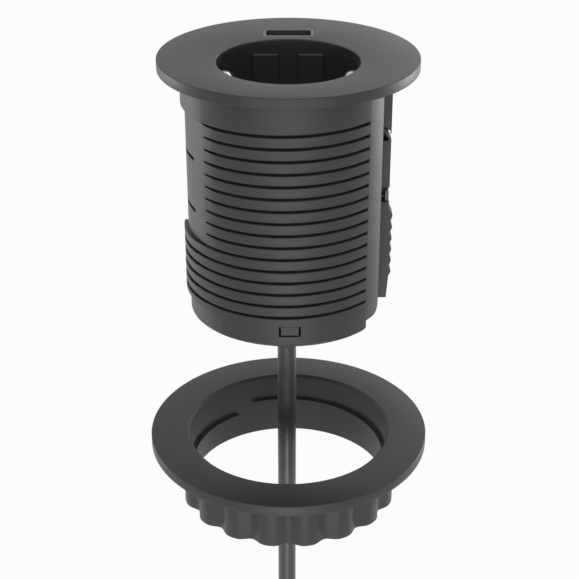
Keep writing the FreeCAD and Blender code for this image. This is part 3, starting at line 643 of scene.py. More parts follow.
def hook_and_loop(name):
    finish = Finish(name)
    fibre = finish.noise(scale=2600.0, detail=4.0, roughness=0.75)
    clump = finish.noise(scale=500.0, detail=3.0, roughness=0.6)
    return finish.set(
        Base_Color=finish.blend(fibre * clump, (0.008, 0.008, 0.009), (0.05, 0.05, 0.055)),
        Roughness=fibre * 0.2 + 0.75,
        Normal=finish.bump(fibre + clump, 0.25 * MM, 0.8),
        Sheen_Weight=0.35,
        Sheen_Roughness=0.5,
    )


LATCH_GREY = plain_plastic("latch_grey", (0.12, 0.12, 0.12), 0.42)
INNER_BLACK = plain_plastic("inner_black", (0.018, 0.018, 0.019), 0.5)
BROWN_WIRE = plain_plastic("brown_wire", (0.10, 0.035, 0.012), 0.4)
BLUE_WIRE = plain_plastic("blue_wire", (0.015, 0.06, 0.28), 0.4)
EARTH_WIRE = plain_plastic("earth_wire", (0.09, 0.24, 0.03), 0.4)
BOARD = circuit_board("circuit_board")
TIE_CLOTH = hook_and_loop("hook_and_loop")
print("materials", len(bpy.data.materials))

# %% [markdown]
# ## The lead, put away as a hank
#
# Two metres of lead leave the bush under the tube and drop straight through the ring, as the
# photograph shows. What it doesn't show is folded into a hank: long turns that lie side by side,
# each one diameter from the next. One curve makes the whole lead. It is a smooth spline, and its
# points are worked out by a loop, turn by turn. On the left side each turn moves over to the next
# place, the last turn lowest, so that no turn passes through another.

# %% Places of the turns
hank_low, hank_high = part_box("cord_hank")
bush_low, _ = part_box("cord_gland")
FOLD_R = 17.0
CORD_D = 2 * CORD_R
HANK_OUTER = FOLD_R - CORD_R + 2 * CORD_D
FOLD_TOP = hank_high[2] / MM - HANK_OUTER
FOLD_FOOT = hank_low[2] / MM + HANK_OUTER
FOLD_MIDDLE = (FOLD_TOP + FOLD_FOOT) / 2
EXIT = (CORD_X, 0.0, bush_low[2] / MM)
TAIL_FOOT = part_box("power_cord_tail")[0][2] / MM
PLACES = (
    (FOLD_R + CORD_D, 0.0), (FOLD_R + CORD_D, CORD_D), (FOLD_R, CORD_D),
    (FOLD_R, 2 * CORD_D), (FOLD_R + CORD_D, 2 * CORD_D), (FOLD_R + CORD_D, 3 * CORD_D),
)
print("hank straight", round(FOLD_TOP - FOLD_FOOT, 1), "foot", round(FOLD_FOOT, 1))

# %% Route of the lead
ARC_STEP = 30.0
CONTROL_STRETCH = 1.035  # the spline cuts its corners, so its points stand further out
HANGING = (-100.0, -130.0, -160.0, -187.0)
MOVE_MARGIN = 3.0
TAIL_LEAD = 10.0


def fold(r, y, z, start, end):
    """Control points round one fold of the hank, from angle start to angle end."""
    steps = round(abs(end - start) / ARC_STEP)
    return [
        (CORD_X + a, y, z + b)
        for a, b in arc_points((0, 0), r * CONTROL_STRETCH, start, end, steps)
    ]


def lead_route():
    side = FOLD_R + CORD_D
    route = [EXIT] + [(CORD_X, 0.0, z) for z in HANGING]
    route += [(CORD_X + 0.1 * side, 0.0, FOLD_TOP + 12.5), (CORD_X + 0.9 * side, 0.0, FOLD_TOP - 4.0),
              (CORD_X + side, 0.0, FOLD_TOP - 18.0)]
    move = (FOLD_TOP - FOLD_FOOT - 2 * MOVE_MARGIN) / (len(PLACES) - 1)
    for i, ((r, y), (next_r, next_y)) in enumerate(zip(PLACES, PLACES[1:])):
        route.append((CORD_X + r, y, FOLD_MIDDLE))
        route += fold(r, y, FOLD_FOOT, 0.0, -180.0)
        low = FOLD_FOOT + MOVE_MARGIN + move * (len(PLACES) - 2 - i)
        route += [(CORD_X - r, y, low), (CORD_X - next_r, next_y, low + move)]
        route += fold(next_r, next_y, FOLD_TOP, 180.0, 0.0)
    r, y = PLACES[-1]
    route += [(CORD_X + r, y, z) for z in (FOLD_MIDDLE, FOLD_FOOT - TAIL_LEAD, TAIL_FOOT)]
    return route


# %% The lead's curve
def spline_tube(name, points, r, material):
    curve = bpy.data.curves.new(name, "CURVE")
    curve.dimensions = "3D"
    curve.bevel_depth = r * MM
    curve.bevel_resolution = 6
    curve.resolution_u = 8
    curve.use_fill_caps = True
    spline = curve.splines.new("NURBS")
    spline.points.add(len(points) - 1)
    for control, (x, y, z) in zip(spline.points, points):
        control.co = (x * MM, y * MM, z * MM, 1.0)
    spline.order_u = 3
    spline.use_endpoint_u = True
    curve.materials.append(material)
    tube = bpy.data.objects.new(name, curve)
    bpy.context.scene.collection.objects.link(tube)
    return tube


lead = spline_tube("lead", lead_route(), CORD_R, JACKET)
bpy.context.view_layer.update()
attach(lead, "unit")
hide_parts("power_cord", "cord_hank", "power_cord_tail", "cord_entry")

# %% [markdown]
# ## The tube
#
# The tube is one moulding with its flange. It could be pushed and pulled out of one cylinder, but
# the interrupted thread makes that slow. Instead it is made as on a lathe and a mill: a sector of
# wall is turned at the full radius, what stands too high is cut away, and the grooves are cut with
# one helical bar, copied down the tube.
#
# The left side is lower. It falls away from the thread without an edge, so the cutter's inner
# outline is worked out by a formula: it eases from the full radius to the core's.

# %% Cutter for the left side
COLLAR_FOOT = -9.1
COLLAR_EASE = 0.9
SIDE_BLOCK = (TUBE_FOOT + 6.46, -45.3)  # foot and top of the block that keeps the full radius
SIDE_BLOCK_END = -92.0
FALL_START = -36.0
FALL_ANGLE = 32.0
CUT_R = 32.0
JUST_CLEAR = 0.02
LAP = 0.5  # how far a cutter or an added piece goes past its mark


def falling_radius(angle):
    t = min(1.0, max(0.0, (FALL_START - angle) / FALL_ANGLE))
    ease = t * t * (3.0 - 2.0 * t)
    return LAND_R + JUST_CLEAR - (LAND_R + JUST_CLEAR - CORE_R) * ease


def left_cutter(name, low, high, rim=0.0):
    """What is cut away at the left. With a rim, its upper end slopes outwards to the collar."""
    start, end = FALL_START, LAND_HALF - 180.0
    steps = round((start - end) / STEP_ANGLE)
    angles = [start + (end - start) * i / steps for i in range(steps + 1)]
    outline = [plan_point(falling_radius(a), a) for a in angles]
    outline += [plan_point(CUT_R, a) for a in reversed(angles)]
    cutter = slab(name, outline, low, high - rim)
    if rim:
        spread = (LAND_R + 0.1) / CORE_R
        edit_chosen(cutter, lambda v: v.co.z > (high - rim - 0.01) * MM)
        extrude_by((0, 0, rim * MM))
        bpy.ops.transform.resize(value=(spread, spread, 1), center_override=(0, 0, high * MM))
        leave_edit()
    return cutter


# %% Wall of the tube at the front, left and rear
WALL_TOP = 1.0  # inside the flange
FOOT_CHAMFER = (1.2, 1.4)
FOOT_ROUND = 0.3


def threaded_wall():
    wall = turned(
        "housing",
        [(BORE_R, TUBE_FOOT), (LAND_R - FOOT_CHAMFER[0], TUBE_FOOT, FOOT_ROUND),
         (LAND_R, TUBE_FOOT + FOOT_CHAMFER[1], FOOT_ROUND), (LAND_R, WALL_TOP), (BORE_R, WALL_TOP)],
        span=(-180.0 - LAND_HALF, LAND_HALF),
    )
    low, high = SIDE_BLOCK[0] - LAP, SIDE_BLOCK[1] + LAP
    behind_block = turned("behind_block", rectangle(CORE_R, CUT_R, low, high),
                          span=(LAND_HALF - 180.0, SIDE_BLOCK_END))
    upper = left_cutter("upper_left", SIDE_BLOCK[1], COLLAR_FOOT, rim=COLLAR_EASE)
    lower = left_cutter("lower_left", TUBE_FOOT - 1, SIDE_BLOCK[0])
    return cut(wall, upper, lower, behind_block)


housing = threaded_wall()
print("wall", len(housing.data.polygons), "faces")

# %% [markdown]
# ### The thread grooves
#
# A screw thread is a section carried round and up at the same time, which is what the Screw
# modifier does. It turns the other way from Spin. The bar for one groove is made once. Its copies
# go down the tube one pitch at a time, and a second bar does the same at the rear. The upper lip of
# each groove is broad and soft, which gives the thread its shaded look. The six lowest grooves run
# on round the block at the left, where three thicker bars widen them step by step.


# %% A bar along the thread
def helical_bar(name, section, front_z, start, end):
    """Section (radius, height above the helix) carried along the thread between two angles."""
    base = front_z + PITCH * start / 360.0
    bar = draw_outline(name, [(*plan_point(r, start), base + h) for r, h in section])
    steps = round((end - start) / STEP_ANGLE)
    apply_modifier(
        bar, "SCREW", axis="Z", angle=math.radians(end - start), steps=steps,
        render_steps=steps, screw_offset=PITCH * MM * (end - start) / 360.0, use_merge_vertices=False,
    )
    edit(bar)
    cap_open_ends()
    face_outwards()
    return bar


# %% Thread grooves
GROOVE_START = -50.0
GROOVE_END = LAND_HALF - 0.9
SIDE_GROOVE_START = SIDE_BLOCK_END - 0.6
FIRST_GROOVE = -9.56
GROOVES = 16
SIDE_GROOVES = 6
GROOVE_DEPTH = 1.3
PAST_LAND = 0.5
# Each point of the groove's section, as (out from the land, up from the helix).
UPPER_LIP = ((0.05, 1.30), (-0.03, 0.95), (-0.12, 0.65), (-0.40, 0.40), (-GROOVE_DEPTH, 0.28))
LOWER_LIP = ((-GROOVE_DEPTH, -0.10), (-0.30, -0.14), (-0.08, -0.22), (0.05, -0.36))
OUTSIDE = ((PAST_LAND, -0.36), (PAST_LAND, 1.30))
# Each bar that widens the side grooves, as (its foot, its top outside, the angle it ends at).
SIDE_STEPS = ((-0.26, 0.42, -50.0), (-0.42, 0.56, -58.0), (-0.60, 0.70, -66.0))
SIDE_SHOULDER = 0.30


def groove_bar(name, start, end):
    section = [(LAND_R + out, up) for out, up in UPPER_LIP + LOWER_LIP + OUTSIDE]
    return helical_bar(name, section, FIRST_GROOVE, start, end)


def side_bar(low, high, end):
    inner, outer = LAND_R - GROOVE_DEPTH, LAND_R + PAST_LAND
    section = [(inner, SIDE_SHOULDER), (inner, low), (outer, low), (outer, high)]
    return helical_bar("side_bar", section, FIRST_GROOVE, SIDE_GROOVE_START, end)


front_bar = groove_bar("front_bar", GROOVE_START, GROOVE_END)
rear_bar = groove_bar("rear_bar", -180 - GROOVE_END, -180 + GROOVE_END)
long_bar = groove_bar("long_bar", SIDE_GROOVE_START, GROOVE_END)
side_bars = [side_bar(*step) for step in SIDE_STEPS]
for i in range(GROOVES):
    at_side = i >= GROOVES - SIDE_GROOVES
    front = long_bar if at_side else front_bar
    cut(housing, joined(lowered_copy(front, PITCH * i), lowered_copy(rear_bar, PITCH * i)))
    for bar in side_bars if at_side else ():
        cut(housing, lowered_copy(bar, PITCH * i))
throw_away(front_bar, rear_bar, long_bar, *side_bars)
print("threaded wall", len(housing.data.polygons), "faces")

# %% [markdown]
# ### The side channel
#
# On the right the wall is lower, and between two plain stripes a channel runs from top to bottom.
# The stripes are turned with the low wall and the channel is milled out of it. Behind each stripe
# the wall is thinned from inside, and each stripe's foot has one round corner.

# %% Side channel
STRIPE_ANGLE = 15.6
CHANNEL_HALF = 90.0 - LAND_HALF - STRIPE_ANGLE
SIDE_FOOT = TUBE_FOOT + 2.71
STRIPE_CORNER = 3.0
POCKET_WALL = 2.0  # degrees of wall kept beside the channel
CHANNEL_TOP = 2.0  # past the wall's top
CORNER_LAP = 0.3


def side_wall():
    start, end = 90.0 - CHANNEL_HALF, 90.0 + CHANNEL_HALF
    wall = turned(
        "side_wall",
        rectangle(CHANNEL_BORE_R, CORE_R, SIDE_FOOT, WALL_TOP),
        span=(LAND_HALF - LAP, 180.0 + LAP - LAND_HALF),
    )
    section = rectangle(CHANNEL_BORE_R - 2, BORE_R + 0.2, TUBE_FOOT, CHANNEL_TOP)
    pockets = [
        turned("pocket", section, span=(LAND_HALF - 3.0, start - POCKET_WALL)),
        turned("pocket", section, span=(end + POCKET_WALL, 183.0 - LAND_HALF)),
    ]
    channel = turned("channel", rectangle(CHANNEL_R, CUT_R, TUBE_FOOT, CHANNEL_TOP), span=(start, end))
    return cut(wall, *pockets, channel, *stripe_corners(start))


def stripe_corners(angle):
    """Cutters that round the foot of each stripe where it meets the channel."""
    low, high = SIDE_FOOT - LAP, SIDE_FOOT + STRIPE_CORNER
    outline = [(CORNER_LAP, low), (CORNER_LAP, high)]
    outline += arc_points((-STRIPE_CORNER, high), STRIPE_CORNER, 0, -90, 8)
    outline += [(-STRIPE_CORNER, low)]
    corner = slab("corner_block", outline, -CUT_R, -CHANNEL_BORE_R + 0.5, axis="y")
    near = turned_copy(corner, angle)
    throw_away(corner)
    return mirrored_copy(near), near


# %% [markdown]
# ### The rail in the channel
#
# The rail is a long latch: a thin slanting arm at its upper end, a window for the catch of the
# cover inside, and six rounded lobes that carry the thread past the channel. Its outline is drawn
# from the side and given its width, and the pocket round the arm is cut from the front.

# %% Rail
RAIL_HALF = 2.0
RAIL_FACE = CORE_R - 0.04
RAIL_BACK = CHANNEL_R - 0.4
RAIL_FOOT = TUBE_FOOT + 1.56
LATCH_WINDOW = (-39.4, -34.95)
LOBES_TOP = -41.85
LOBE_COUNT = 6
LOBE_OUT = (0.35, 0.75)  # where a lobe's arc has its middle, and how far it bulges
# The notch in the rail's face, the pocket round the arm and the arm, as points (x, z).
NOTCH = ((RAIL_FACE, -20.5), (27.62, -19.1), (27.62, -18.9), (RAIL_FACE, -18.9))
ARM_POCKET = (
    (26.25, -16.9), (26.9, -16.9), (28.25, -18.2), (28.25, -18.9), (27.62, -18.9),
    (27.62, -19.1), (28.1, -20.0), (27.5, -21.0), (26.25, -21.0),
)
POCKET_END = 0.9
ARM = (
    (26.0, -16.75), (26.3, -17.05), (27.62, -19.05), (RAIL_FACE, -20.45),
    (RAIL_FACE, -21.1), (27.75, -20.6), (26.25, -18.3), (26.0, -18.3),
)
ARM_T = 0.8


def lobe_outline(top):
    """One rounded lobe of the rail, from its foot up."""
    middle, reach = top - PITCH / 2, PITCH / 2
    return [
        (RAIL_FACE + LOBE_OUT[0] + LOBE_OUT[1] * math.cos(math.radians(a)), middle + reach * a / 90.0)
        for a in range(-78, 79, 26)
    ]


def rail():
    outline = [(RAIL_BACK, WALL_TOP), (RAIL_BACK, RAIL_FOOT), (RAIL_FACE, RAIL_FOOT)]
    for i in reversed(range(LOBE_COUNT)):
        outline += lobe_outline(LOBES_TOP - PITCH * i)
    outline += [(RAIL_FACE, LOBES_TOP + 0.4), *NOTCH, (RAIL_FACE, WALL_TOP)]
    body = slab("rail", outline, -RAIL_HALF, RAIL_HALF, axis="y")
    cut(body, slab("arm_pocket", ARM_POCKET, -RAIL_HALF - 0.1, POCKET_END, axis="y"))
    return add(body, slab("rail_arm", ARM, -RAIL_HALF, -RAIL_HALF + ARM_T, axis="y"))


add(housing, side_wall(), rail())
print("with side channel", len(housing.data.polygons), "faces")

# %% [markdown]
# ### The flange, and the openings cut last
#
# The flange is a turned disc with softened rims. The recess, the port, the snap windows, the two
# slots on the left and the latch window are then cut through whatever is in their way, as in the
# real tool.

# %% Flange and openings
RIM_ROUND = 0.25
LIP_ROUND = 0.35
PORT_WIDTH = 14.7
PORT_DEPTH = 6.6
PORT_CORNER = 0.6
FRONT_SNAP = (-2.6, 3.4)
REAR_SNAP = (-3.0, 3.0)
SNAP_Z = (TUBE_FOOT + 3.66, TUBE_FOOT + 6.76)
SNAP_BACK_R = BORE_R - 1.5
LATCH_WINDOW_Y = (-RAIL_HALF - 0.1, 1.65)
SLOT_HEIGHTS = (-22.15, -37.35)
SLOT_HALF = 0.55
SLOT_SPAN = (-116.7, -63.3)

flange = turned(
    "flange",
    [(0, 0), (FLANGE_R, 0, RIM_ROUND), (FLANGE_R, FLANGE_T, RIM_ROUND), (0, FLANGE_T)],
    steps_per_round=5,
)
add(housing, flange)


def recess_mouth():
    lip_r, top = RECESS_R + JUST_CLEAR + LIP_ROUND, FLANGE_T + 1
    lip = arc_points((lip_r, FLANGE_T - LIP_ROUND), LIP_ROUND, 180, 90, 5)
    section = [(0, -1.0), (RECESS_R + JUST_CLEAR, -1.0), *lip, (lip_r, top), (0, top)]
    return turned("recess_mouth", section, at=(0, RECESS_Y))


def port_mouth():
    x, y = PORT_WIDTH / 2, PORT_DEPTH / 2
    corners = [(a, PORT_Y + b, PORT_CORNER) for a, b in rectangle(-x, x, -y, y)]
    return slab("port_mouth", corners, -1.0, FLANGE_T + 1)


def left_slot(z):
    section = rectangle(BORE_R - 1, CUT_R, z - SLOT_HALF, z + SLOT_HALF)
    return turned("left_slot", section, span=SLOT_SPAN)


cut(
    housing,
    turned("hollow", rectangle(0, CHANNEL_BORE_R, -1, CEILING)),
    recess_mouth(),
    port_mouth(),
    block("snap_window", FRONT_SNAP, (-CUT_R, -SNAP_BACK_R), SNAP_Z),
    block("snap_window", REAR_SNAP, (SNAP_BACK_R, CUT_R), SNAP_Z),
    block("latch_window", (CHANNEL_BORE_R - 1, CUT_R), LATCH_WINDOW_Y, LATCH_WINDOW),
    *[left_slot(z) for z in SLOT_HEIGHTS],
)
finish_piece(housing, "unit", PLASTIC, replaces=["housing"])

# %% [markdown]
# ## The socket insert
#
# Under the mouth hangs a cup with the face for the plug. Four key blocks stand against its wall,
# two at the far side and two at the near side, and guide the plug's flats. Their tops slope down
# towards the wall, with a small chamfer that catches the light. One block is drawn and copied
# round, and a turned cutter trims the copies to the cup.

# %% Socket insert
RECESS_DEPTH = 17.5
FLOOR_Z = FLANGE_T - RECESS_DEPTH
CUP_TOP = CEILING - 0.02
CUP_WALL = 1.6
CUP_FLOOR = 2.0
KEY_WIDTH = (2.85, 9.75)
KEY_REACH = 15.6
KEY_TOP = FLANGE_T - 3.2
KEY_SLOPE = 1.3
KEY_CHAMFER = 0.3
PIN_HALF = 9.5  # half the distance between the pins
PIN_HOLE_R = 2.75
PIN_MOUTH_R = 3.25
CLIP_SLOT_X = (15.4, 17.8)
CLIP_SLOT_HALF = 1.8


def key_blocks():
    foot, back = FLOOR_Z - 0.5, RECESS_R + 0.6
    section = [(KEY_REACH, foot), (back, foot), (back, KEY_TOP - KEY_SLOPE),
               (KEY_REACH + KEY_CHAMFER, KEY_TOP), (KEY_REACH, KEY_TOP - KEY_CHAMFER)]
    one = slab("key_block", section, *KEY_WIDTH, axis="y")
    other = mirrored_copy(one)
    blocks = joined(*[turned_copy(b, angle) for b in (one, other) for angle in (90, -90)])
    throw_away(one, other)
    bound = turned("bound", rectangle(0, RECESS_R + 0.3, FLOOR_Z - CUP_FLOOR, 2.0))
    combine(blocks, bound, "INTERSECT")
    blocks.location = (0, RECESS_Y * MM, 0)
    return settle(blocks)


def pin_hole(y):
    section = [(0, FLOOR_Z - 4), (PIN_HOLE_R, FLOOR_Z - 4), (PIN_HOLE_R, FLOOR_Z - 0.5),
               (PIN_MOUTH_R, FLOOR_Z), (PIN_MOUTH_R, FLOOR_Z + 1), (0, FLOOR_Z + 1)]
    return turned("pin_hole", section, at=(0, y))


def clip_slot(side):
    x = sorted(side * edge for edge in CLIP_SLOT_X)
    y = (RECESS_Y - CLIP_SLOT_HALF, RECESS_Y + CLIP_SLOT_HALF)
    return block("clip_slot", x, y, (FLOOR_Z - 3, FLOOR_Z + 1))


insert = turned(
    "socket_insert",
    [(0, FLOOR_Z), (RECESS_R, FLOOR_Z, 0.4), (RECESS_R, CUP_TOP), (RECESS_R + CUP_WALL, CUP_TOP),
     (RECESS_R + CUP_WALL, FLOOR_Z - CUP_FLOOR), (0, FLOOR_Z - CUP_FLOOR)],
    at=(0, RECESS_Y),
)
add(insert, key_blocks())
cut(insert, pin_hole(RECESS_Y + PIN_HALF), pin_hole(RECESS_Y - PIN_HALF), clip_slot(1), clip_slot(-1))
finish_piece(insert, "unit", PLASTIC, replaces=["socket_insert"])

# %% [markdown]
# ## The earth clips
#
# The clips are one strip of spring steel. Each end comes up through the floor, leans inwards and
# bends back to the wall. The strip's middle line is drawn, widened, given its thickness with
# Solidify, and its edges are broken with a Bevel. The strip carries the block that takes the earth
# wire, with a hole for the wire and one for its screw.

# %% Strip of the earth clips
CLIP_WIDTH = 3.2
CLIP_T = 0.6
CLIP_TOP = FLANGE_T - 3.4
CLIP_BEND = 2.25
CLIP_REACH = 14.95
CLIP_TIP_X = 18.9
CLIP_FOOT_X = 16.6


def clip_line():
    half = [(CLIP_TIP_X, CLIP_TOP)]
    half += arc_points((CLIP_REACH + CLIP_BEND, CLIP_TOP - CLIP_BEND), CLIP_BEND, 90, 180, 8)
    half += [(CLIP_FOOT_X, FLOOR_Z + 1.5), (CLIP_FOOT_X, FLOOR_Z - 2.9)]
    return half + [(-x, z) for x, z in reversed(half)]


def clip_strip():
    y = RECESS_Y - CLIP_WIDTH / 2
    strip = draw_outline("earth_clips", [(x, y, z) for x, z in clip_line()], closed=False)
    edit(strip)
    extrude_by((0, CLIP_WIDTH * MM, 0))
    leave_edit()
    apply_modifier(strip, "SOLIDIFY", thickness=CLIP_T * MM, offset=0.0, use_even_offset=True)
    soft_bevel(strip, 0.1, 2, 50)
    edit(strip)
    face_outwards()
    return strip


# %% Terminal of the earth clips
TERMINAL_X = -9.15
TERMINAL_HALF = 3.0
TERMINAL_Z = (FLOOR_Z - 9.2, FLOOR_Z - 2.6)
WIRE_HOLE_R = 1.2
WIRE_HOLE_TOP = FLOOR_Z - 4.1
SCREW_HOLE_R = 1.32
SCREW_Z = FLOOR_Z - 6.2


def terminal():
    low = TERMINAL_Z[0] - 1
    body = block("earth_terminal", (TERMINAL_X - TERMINAL_HALF, TERMINAL_X + TERMINAL_HALF),
                 (RECESS_Y - TERMINAL_HALF, RECESS_Y + TERMINAL_HALF), TERMINAL_Z)
    wire_hole = turned("wire_hole", rectangle(0, WIRE_HOLE_R, low, WIRE_HOLE_TOP),
                       at=(TERMINAL_X, RECESS_Y))
    screw_hole = slab("screw_hole", arc_points((RECESS_Y, SCREW_Z), SCREW_HOLE_R, 0, 345, 23),
                      TERMINAL_X - 2 * TERMINAL_HALF, TERMINAL_X, axis="x")
    return cut(body, wire_hole, screw_hole)


clips = add(clip_strip(), terminal())
finish_piece(clips, "unit", STEEL, smooth=40.0, replaces=["earth_clips"])

# %% [markdown]
# ## The bottom cover and the bush
#
# The cover closes the tube from below and snaps into the two windows with a tab on each side. The
# tab fills its window from the top, so that only its sides and its foot show a dark gap. The bush
# holds the lead where it leaves, and tapers so that the lead can't kink there.

# %% Bottom cover
COVER_Z = (TUBE_FOOT + 0.46, TUBE_FOOT + 2.46)
COVER_R = 26.1
COVER_HOLE_R = 5.2
RIM_T = 1.4
RIM_RISE = 5.7
RIM_HALF_ANGLE = 12
TAB_Z = (TUBE_FOOT + 3.95, TUBE_FOOT + 6.7)
TAB_X = (-2.05, 2.85)
TAB_FACE = -29.3
TAB_CHAMFER = 0.2


def snap_tab():
    (low, high), back = TAB_Z, -COVER_R + 1
    outline = [(TAB_FACE, low), (back, low), (back, high), (TAB_FACE + TAB_CHAMFER, high),
               (TAB_FACE, high - TAB_CHAMFER)]
    return slab("tab", outline, *TAB_X, axis="x")


def bottom_cover():
    low, high = COVER_Z
    disc = turned(
        "bottom_cover",
        [(COVER_HOLE_R, low), (COVER_R, low, 0.3), (COVER_R, high, 0.2), (COVER_HOLE_R, high)],
        steps_per_round=3,
    )
    rim = turned("rim", rectangle(COVER_R - RIM_T, COVER_R, low + 1, high + RIM_RISE),
                 span=(-RIM_HALF_ANGLE, RIM_HALF_ANGLE))
    tab = snap_tab()
    add(disc, turned_copy(rim, 180), turned_copy(tab, 180), rim, tab)
    return cut(disc, block("rail_notch", (COVER_R - 0.71, 30), (-2.3, 2.3), (-75, -60)))


finish_piece(bottom_cover(), "unit", PLASTIC, replaces=["bottom_cover"])

# %% Bush
BUSH_BORE_R = CORD_R + 0.05
BUSH_TIP_R = 3.9
BUSH_NECK_R = 5.6
BUSH_COLLAR_R = 7.0
BUSH_COLLAR_Z = COVER_Z[0] - 2.0

bush = turned(
    "cord_gland",
    [(BUSH_BORE_R, EXIT[2]), (BUSH_TIP_R, EXIT[2], 0.5), (BUSH_NECK_R, BUSH_COLLAR_Z, 0.5),
     (BUSH_COLLAR_R, BUSH_COLLAR_Z, 0.6), (BUSH_COLLAR_R, COVER_Z[0], 0.3),
     (BUSH_BORE_R, COVER_Z[0])],
    at=(CORD_X, 0),
)
finish_piece(bush, "unit", SOFT_BUSH, replaces=["cord_gland"])

# %% [markdown]
# ## The lock ring
#
# The ring is a thin flange with a skirt of rounded lobes for the fingers. One lobe is drawn, and
# Spin copies it round the axis, which keeps all of them alike. Nearly one turn of thread stands on
# the inside. It is made as the bars for the grooves are, but thinner, and added instead of cut.

# %% Lobed skirt
RING_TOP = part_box("lock_ring")[1][2] / MM
RING_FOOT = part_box("lock_ring")[0][2] / MM
RING_BORE = LAND_R + 0.54
LOBES = 18
LOBE_R = 33.5
VALLEY_R = 31.55
LOBE_SAMPLES = 12
LOBE_FULLNESS = 0.40  # a plain cosine would make the lobes too thin


def lobed_skirt():
    step = 360.0 / LOBES
    middle, swing = (LOBE_R + VALLEY_R) / 2, (LOBE_R - VALLEY_R) / 2
    line = []
    for i in range(LOBE_SAMPLES + 1):
        t = i / LOBE_SAMPLES
        wave = math.cos(2 * math.pi * t)
        fuller = wave + LOBE_FULLNESS * (1 - wave * wave)
        line.append((*plan_point(middle + swing * fuller, step * (0.5 + t)), RING_FOOT))
    skirt = draw_outline("lock_ring", line, closed=False)
    edit(skirt)
    bpy.ops.mesh.spin(steps=LOBES - 1, angle=math.radians(360.0 - step), center=(0, 0, 0),
                      axis=(0, 0, 1), dupli=True)
    merge_close(0.01)
    bpy.ops.mesh.edge_face_add()
    extrude_by((0, 0, (RING_TOP - 1.0 - RING_FOOT) * MM))
    face_outwards()
    return soft_bevel(skirt, 0.3, 3, 60)


# %% Ring with its bore, flange and rib
RING_R = 42.2
RING_T = 3.4
RING_ROUND = 0.35
RING_FOOT_CHAMFER = 0.5
BORE_CHAMFER = 0.8
RIB_TOP = RING_TOP - 8.4
RIB_START = -146.0
RIB_END = RIB_START + 349.0
RIB_CREST_R = LAND_R - 0.7
RIB_HALF = (0.30, 0.48)  # half its height at the crest and at the foot


def ring_hole():
    chamfered, low, high = RING_BORE + RING_FOOT_CHAMFER, RING_FOOT - 1, RING_TOP + 1
    return turned(
        "ring_hole",
        [(0, low), (chamfered, low), (chamfered, RING_FOOT),
         (RING_BORE, RING_FOOT + RING_FOOT_CHAMFER), (RING_BORE, high), (0, high)],
    )


def ring_flange():
    low = RING_TOP - RING_T
    return turned(
        "ring_flange",
        [(RING_BORE + BORE_CHAMFER, RING_TOP, 0.3), (RING_R, RING_TOP, RING_ROUND),
         (RING_R, low, RING_ROUND), (RING_BORE, low), (RING_BORE, RING_TOP - BORE_CHAMFER, 0.3)],
    )


def thread_rib():
    root_r, (crest, root) = RING_BORE + 0.3, RIB_HALF
    section = [(RIB_CREST_R, -crest), (root_r, -root), (root_r, root), (RIB_CREST_R, crest)]
    return helical_bar("rib", section, RIB_TOP - PITCH * RIB_END / 360.0, RIB_START, RIB_END)


ring = cut(lobed_skirt(), ring_hole())
add(ring, ring_flange(), thread_rib())
finish_piece(ring, "ring", PLASTIC, replaces=["lock_ring"])

# %% [markdown]
# ## The tie and the plug
#
# A cloth tie holds the hank at its waist. The plug hangs at the end of the lead: a turned body with
# a soft grip, two flats with their ribs, and a channel on each side for the earth strips.

# %% Tie round the hank
TIE_LOW, TIE_HIGH = (corner[2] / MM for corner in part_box("cord_tie"))
TIE_GAP = 0.9
TIE_CORNER = 3.2
TIE_T = 1.1


def hank_tie():
    x0, x1 = CORD_X - HANK_OUTER - TIE_GAP, CORD_X + HANK_OUTER + TIE_GAP
    y0, y1 = -CORD_R - TIE_GAP, 4 * CORD_D - CORD_R + TIE_GAP
    corners = [(x, y, TIE_CORNER) for x, y in rectangle(x0, x1, y0, y1)]
    band = draw_outline("cord_tie", [(x, y, TIE_LOW) for x, y in rounded(corners, 6)])
    edit(band)
    extrude_by((0, 0, (TIE_HIGH - TIE_LOW) * MM))
    face_outwards()
    apply_modifier(band, "SOLIDIFY", thickness=TIE_T * MM, offset=0.0, use_even_offset=True)
    return soft_bevel(band, 0.3, 2, 50)


tie = finish_piece(hank_tie(), "unit", TIE_CLOTH, smooth=50.0, replaces=["cord_tie"])

# %% Plug
PLUG_LOW, PLUG_HIGH = (corner[2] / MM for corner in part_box("plug_body"))
PLUG_X = CORD_X + PLACES[-1][0]
PLUG_Y = PLACES[-1][1]
PLUG_R = 18.2
PLUG_GRIP_R = 13.5
PLUG_NECK_R = 12.0
RELIEF_R = (7.0, 4.4)  # at its root and at its tip
FLAT_X = (2.6, 10.3)
FLAT_Y = 16.6
STRIP_DEPTH = 2.0
STRIP_HALF = 2.6


def plug():
    z0, z1 = PLUG_LOW, PLUG_HIGH
    body = turned(
        "plug_body",
        [(0, z0), (PLUG_R, z0, 1.0), (PLUG_R, z0 + 14, 2.0), (PLUG_GRIP_R, z0 + 18, 3.0),
         (PLUG_NECK_R, z1 - 15, 4.0), (RELIEF_R[0], z1 - 11, 1.5), (RELIEF_R[1], z1, 0.6), (0, z1)],
        steps_per_round=6,
    )
    for side in (-1, 1):
        y = sorted((side * FLAT_Y, side * (PLUG_R + 1)))
        for x in (FLAT_X, (-FLAT_X[1], -FLAT_X[0])):
            cut(body, block("flat", x, y, (z0 - 1, z0 + 12)))
        x = sorted((side * (PLUG_R - STRIP_DEPTH), side * (PLUG_R + 1)))
        cut(body, block("strip_channel", x, (-STRIP_HALF, STRIP_HALF), (z0 - 1, z0 + 16)))
    body.location = (PLUG_X * MM, PLUG_Y * MM, 0)
    return settle(body)


plug_body = finish_piece(plug(), "unit", SOFT_BUSH, replaces=["plug_body"])

# %% [markdown]
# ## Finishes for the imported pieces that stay
#
# The pieces inside the tube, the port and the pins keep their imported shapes. Each gets the material
# of its real counterpart in place of the plain one it was packed with.

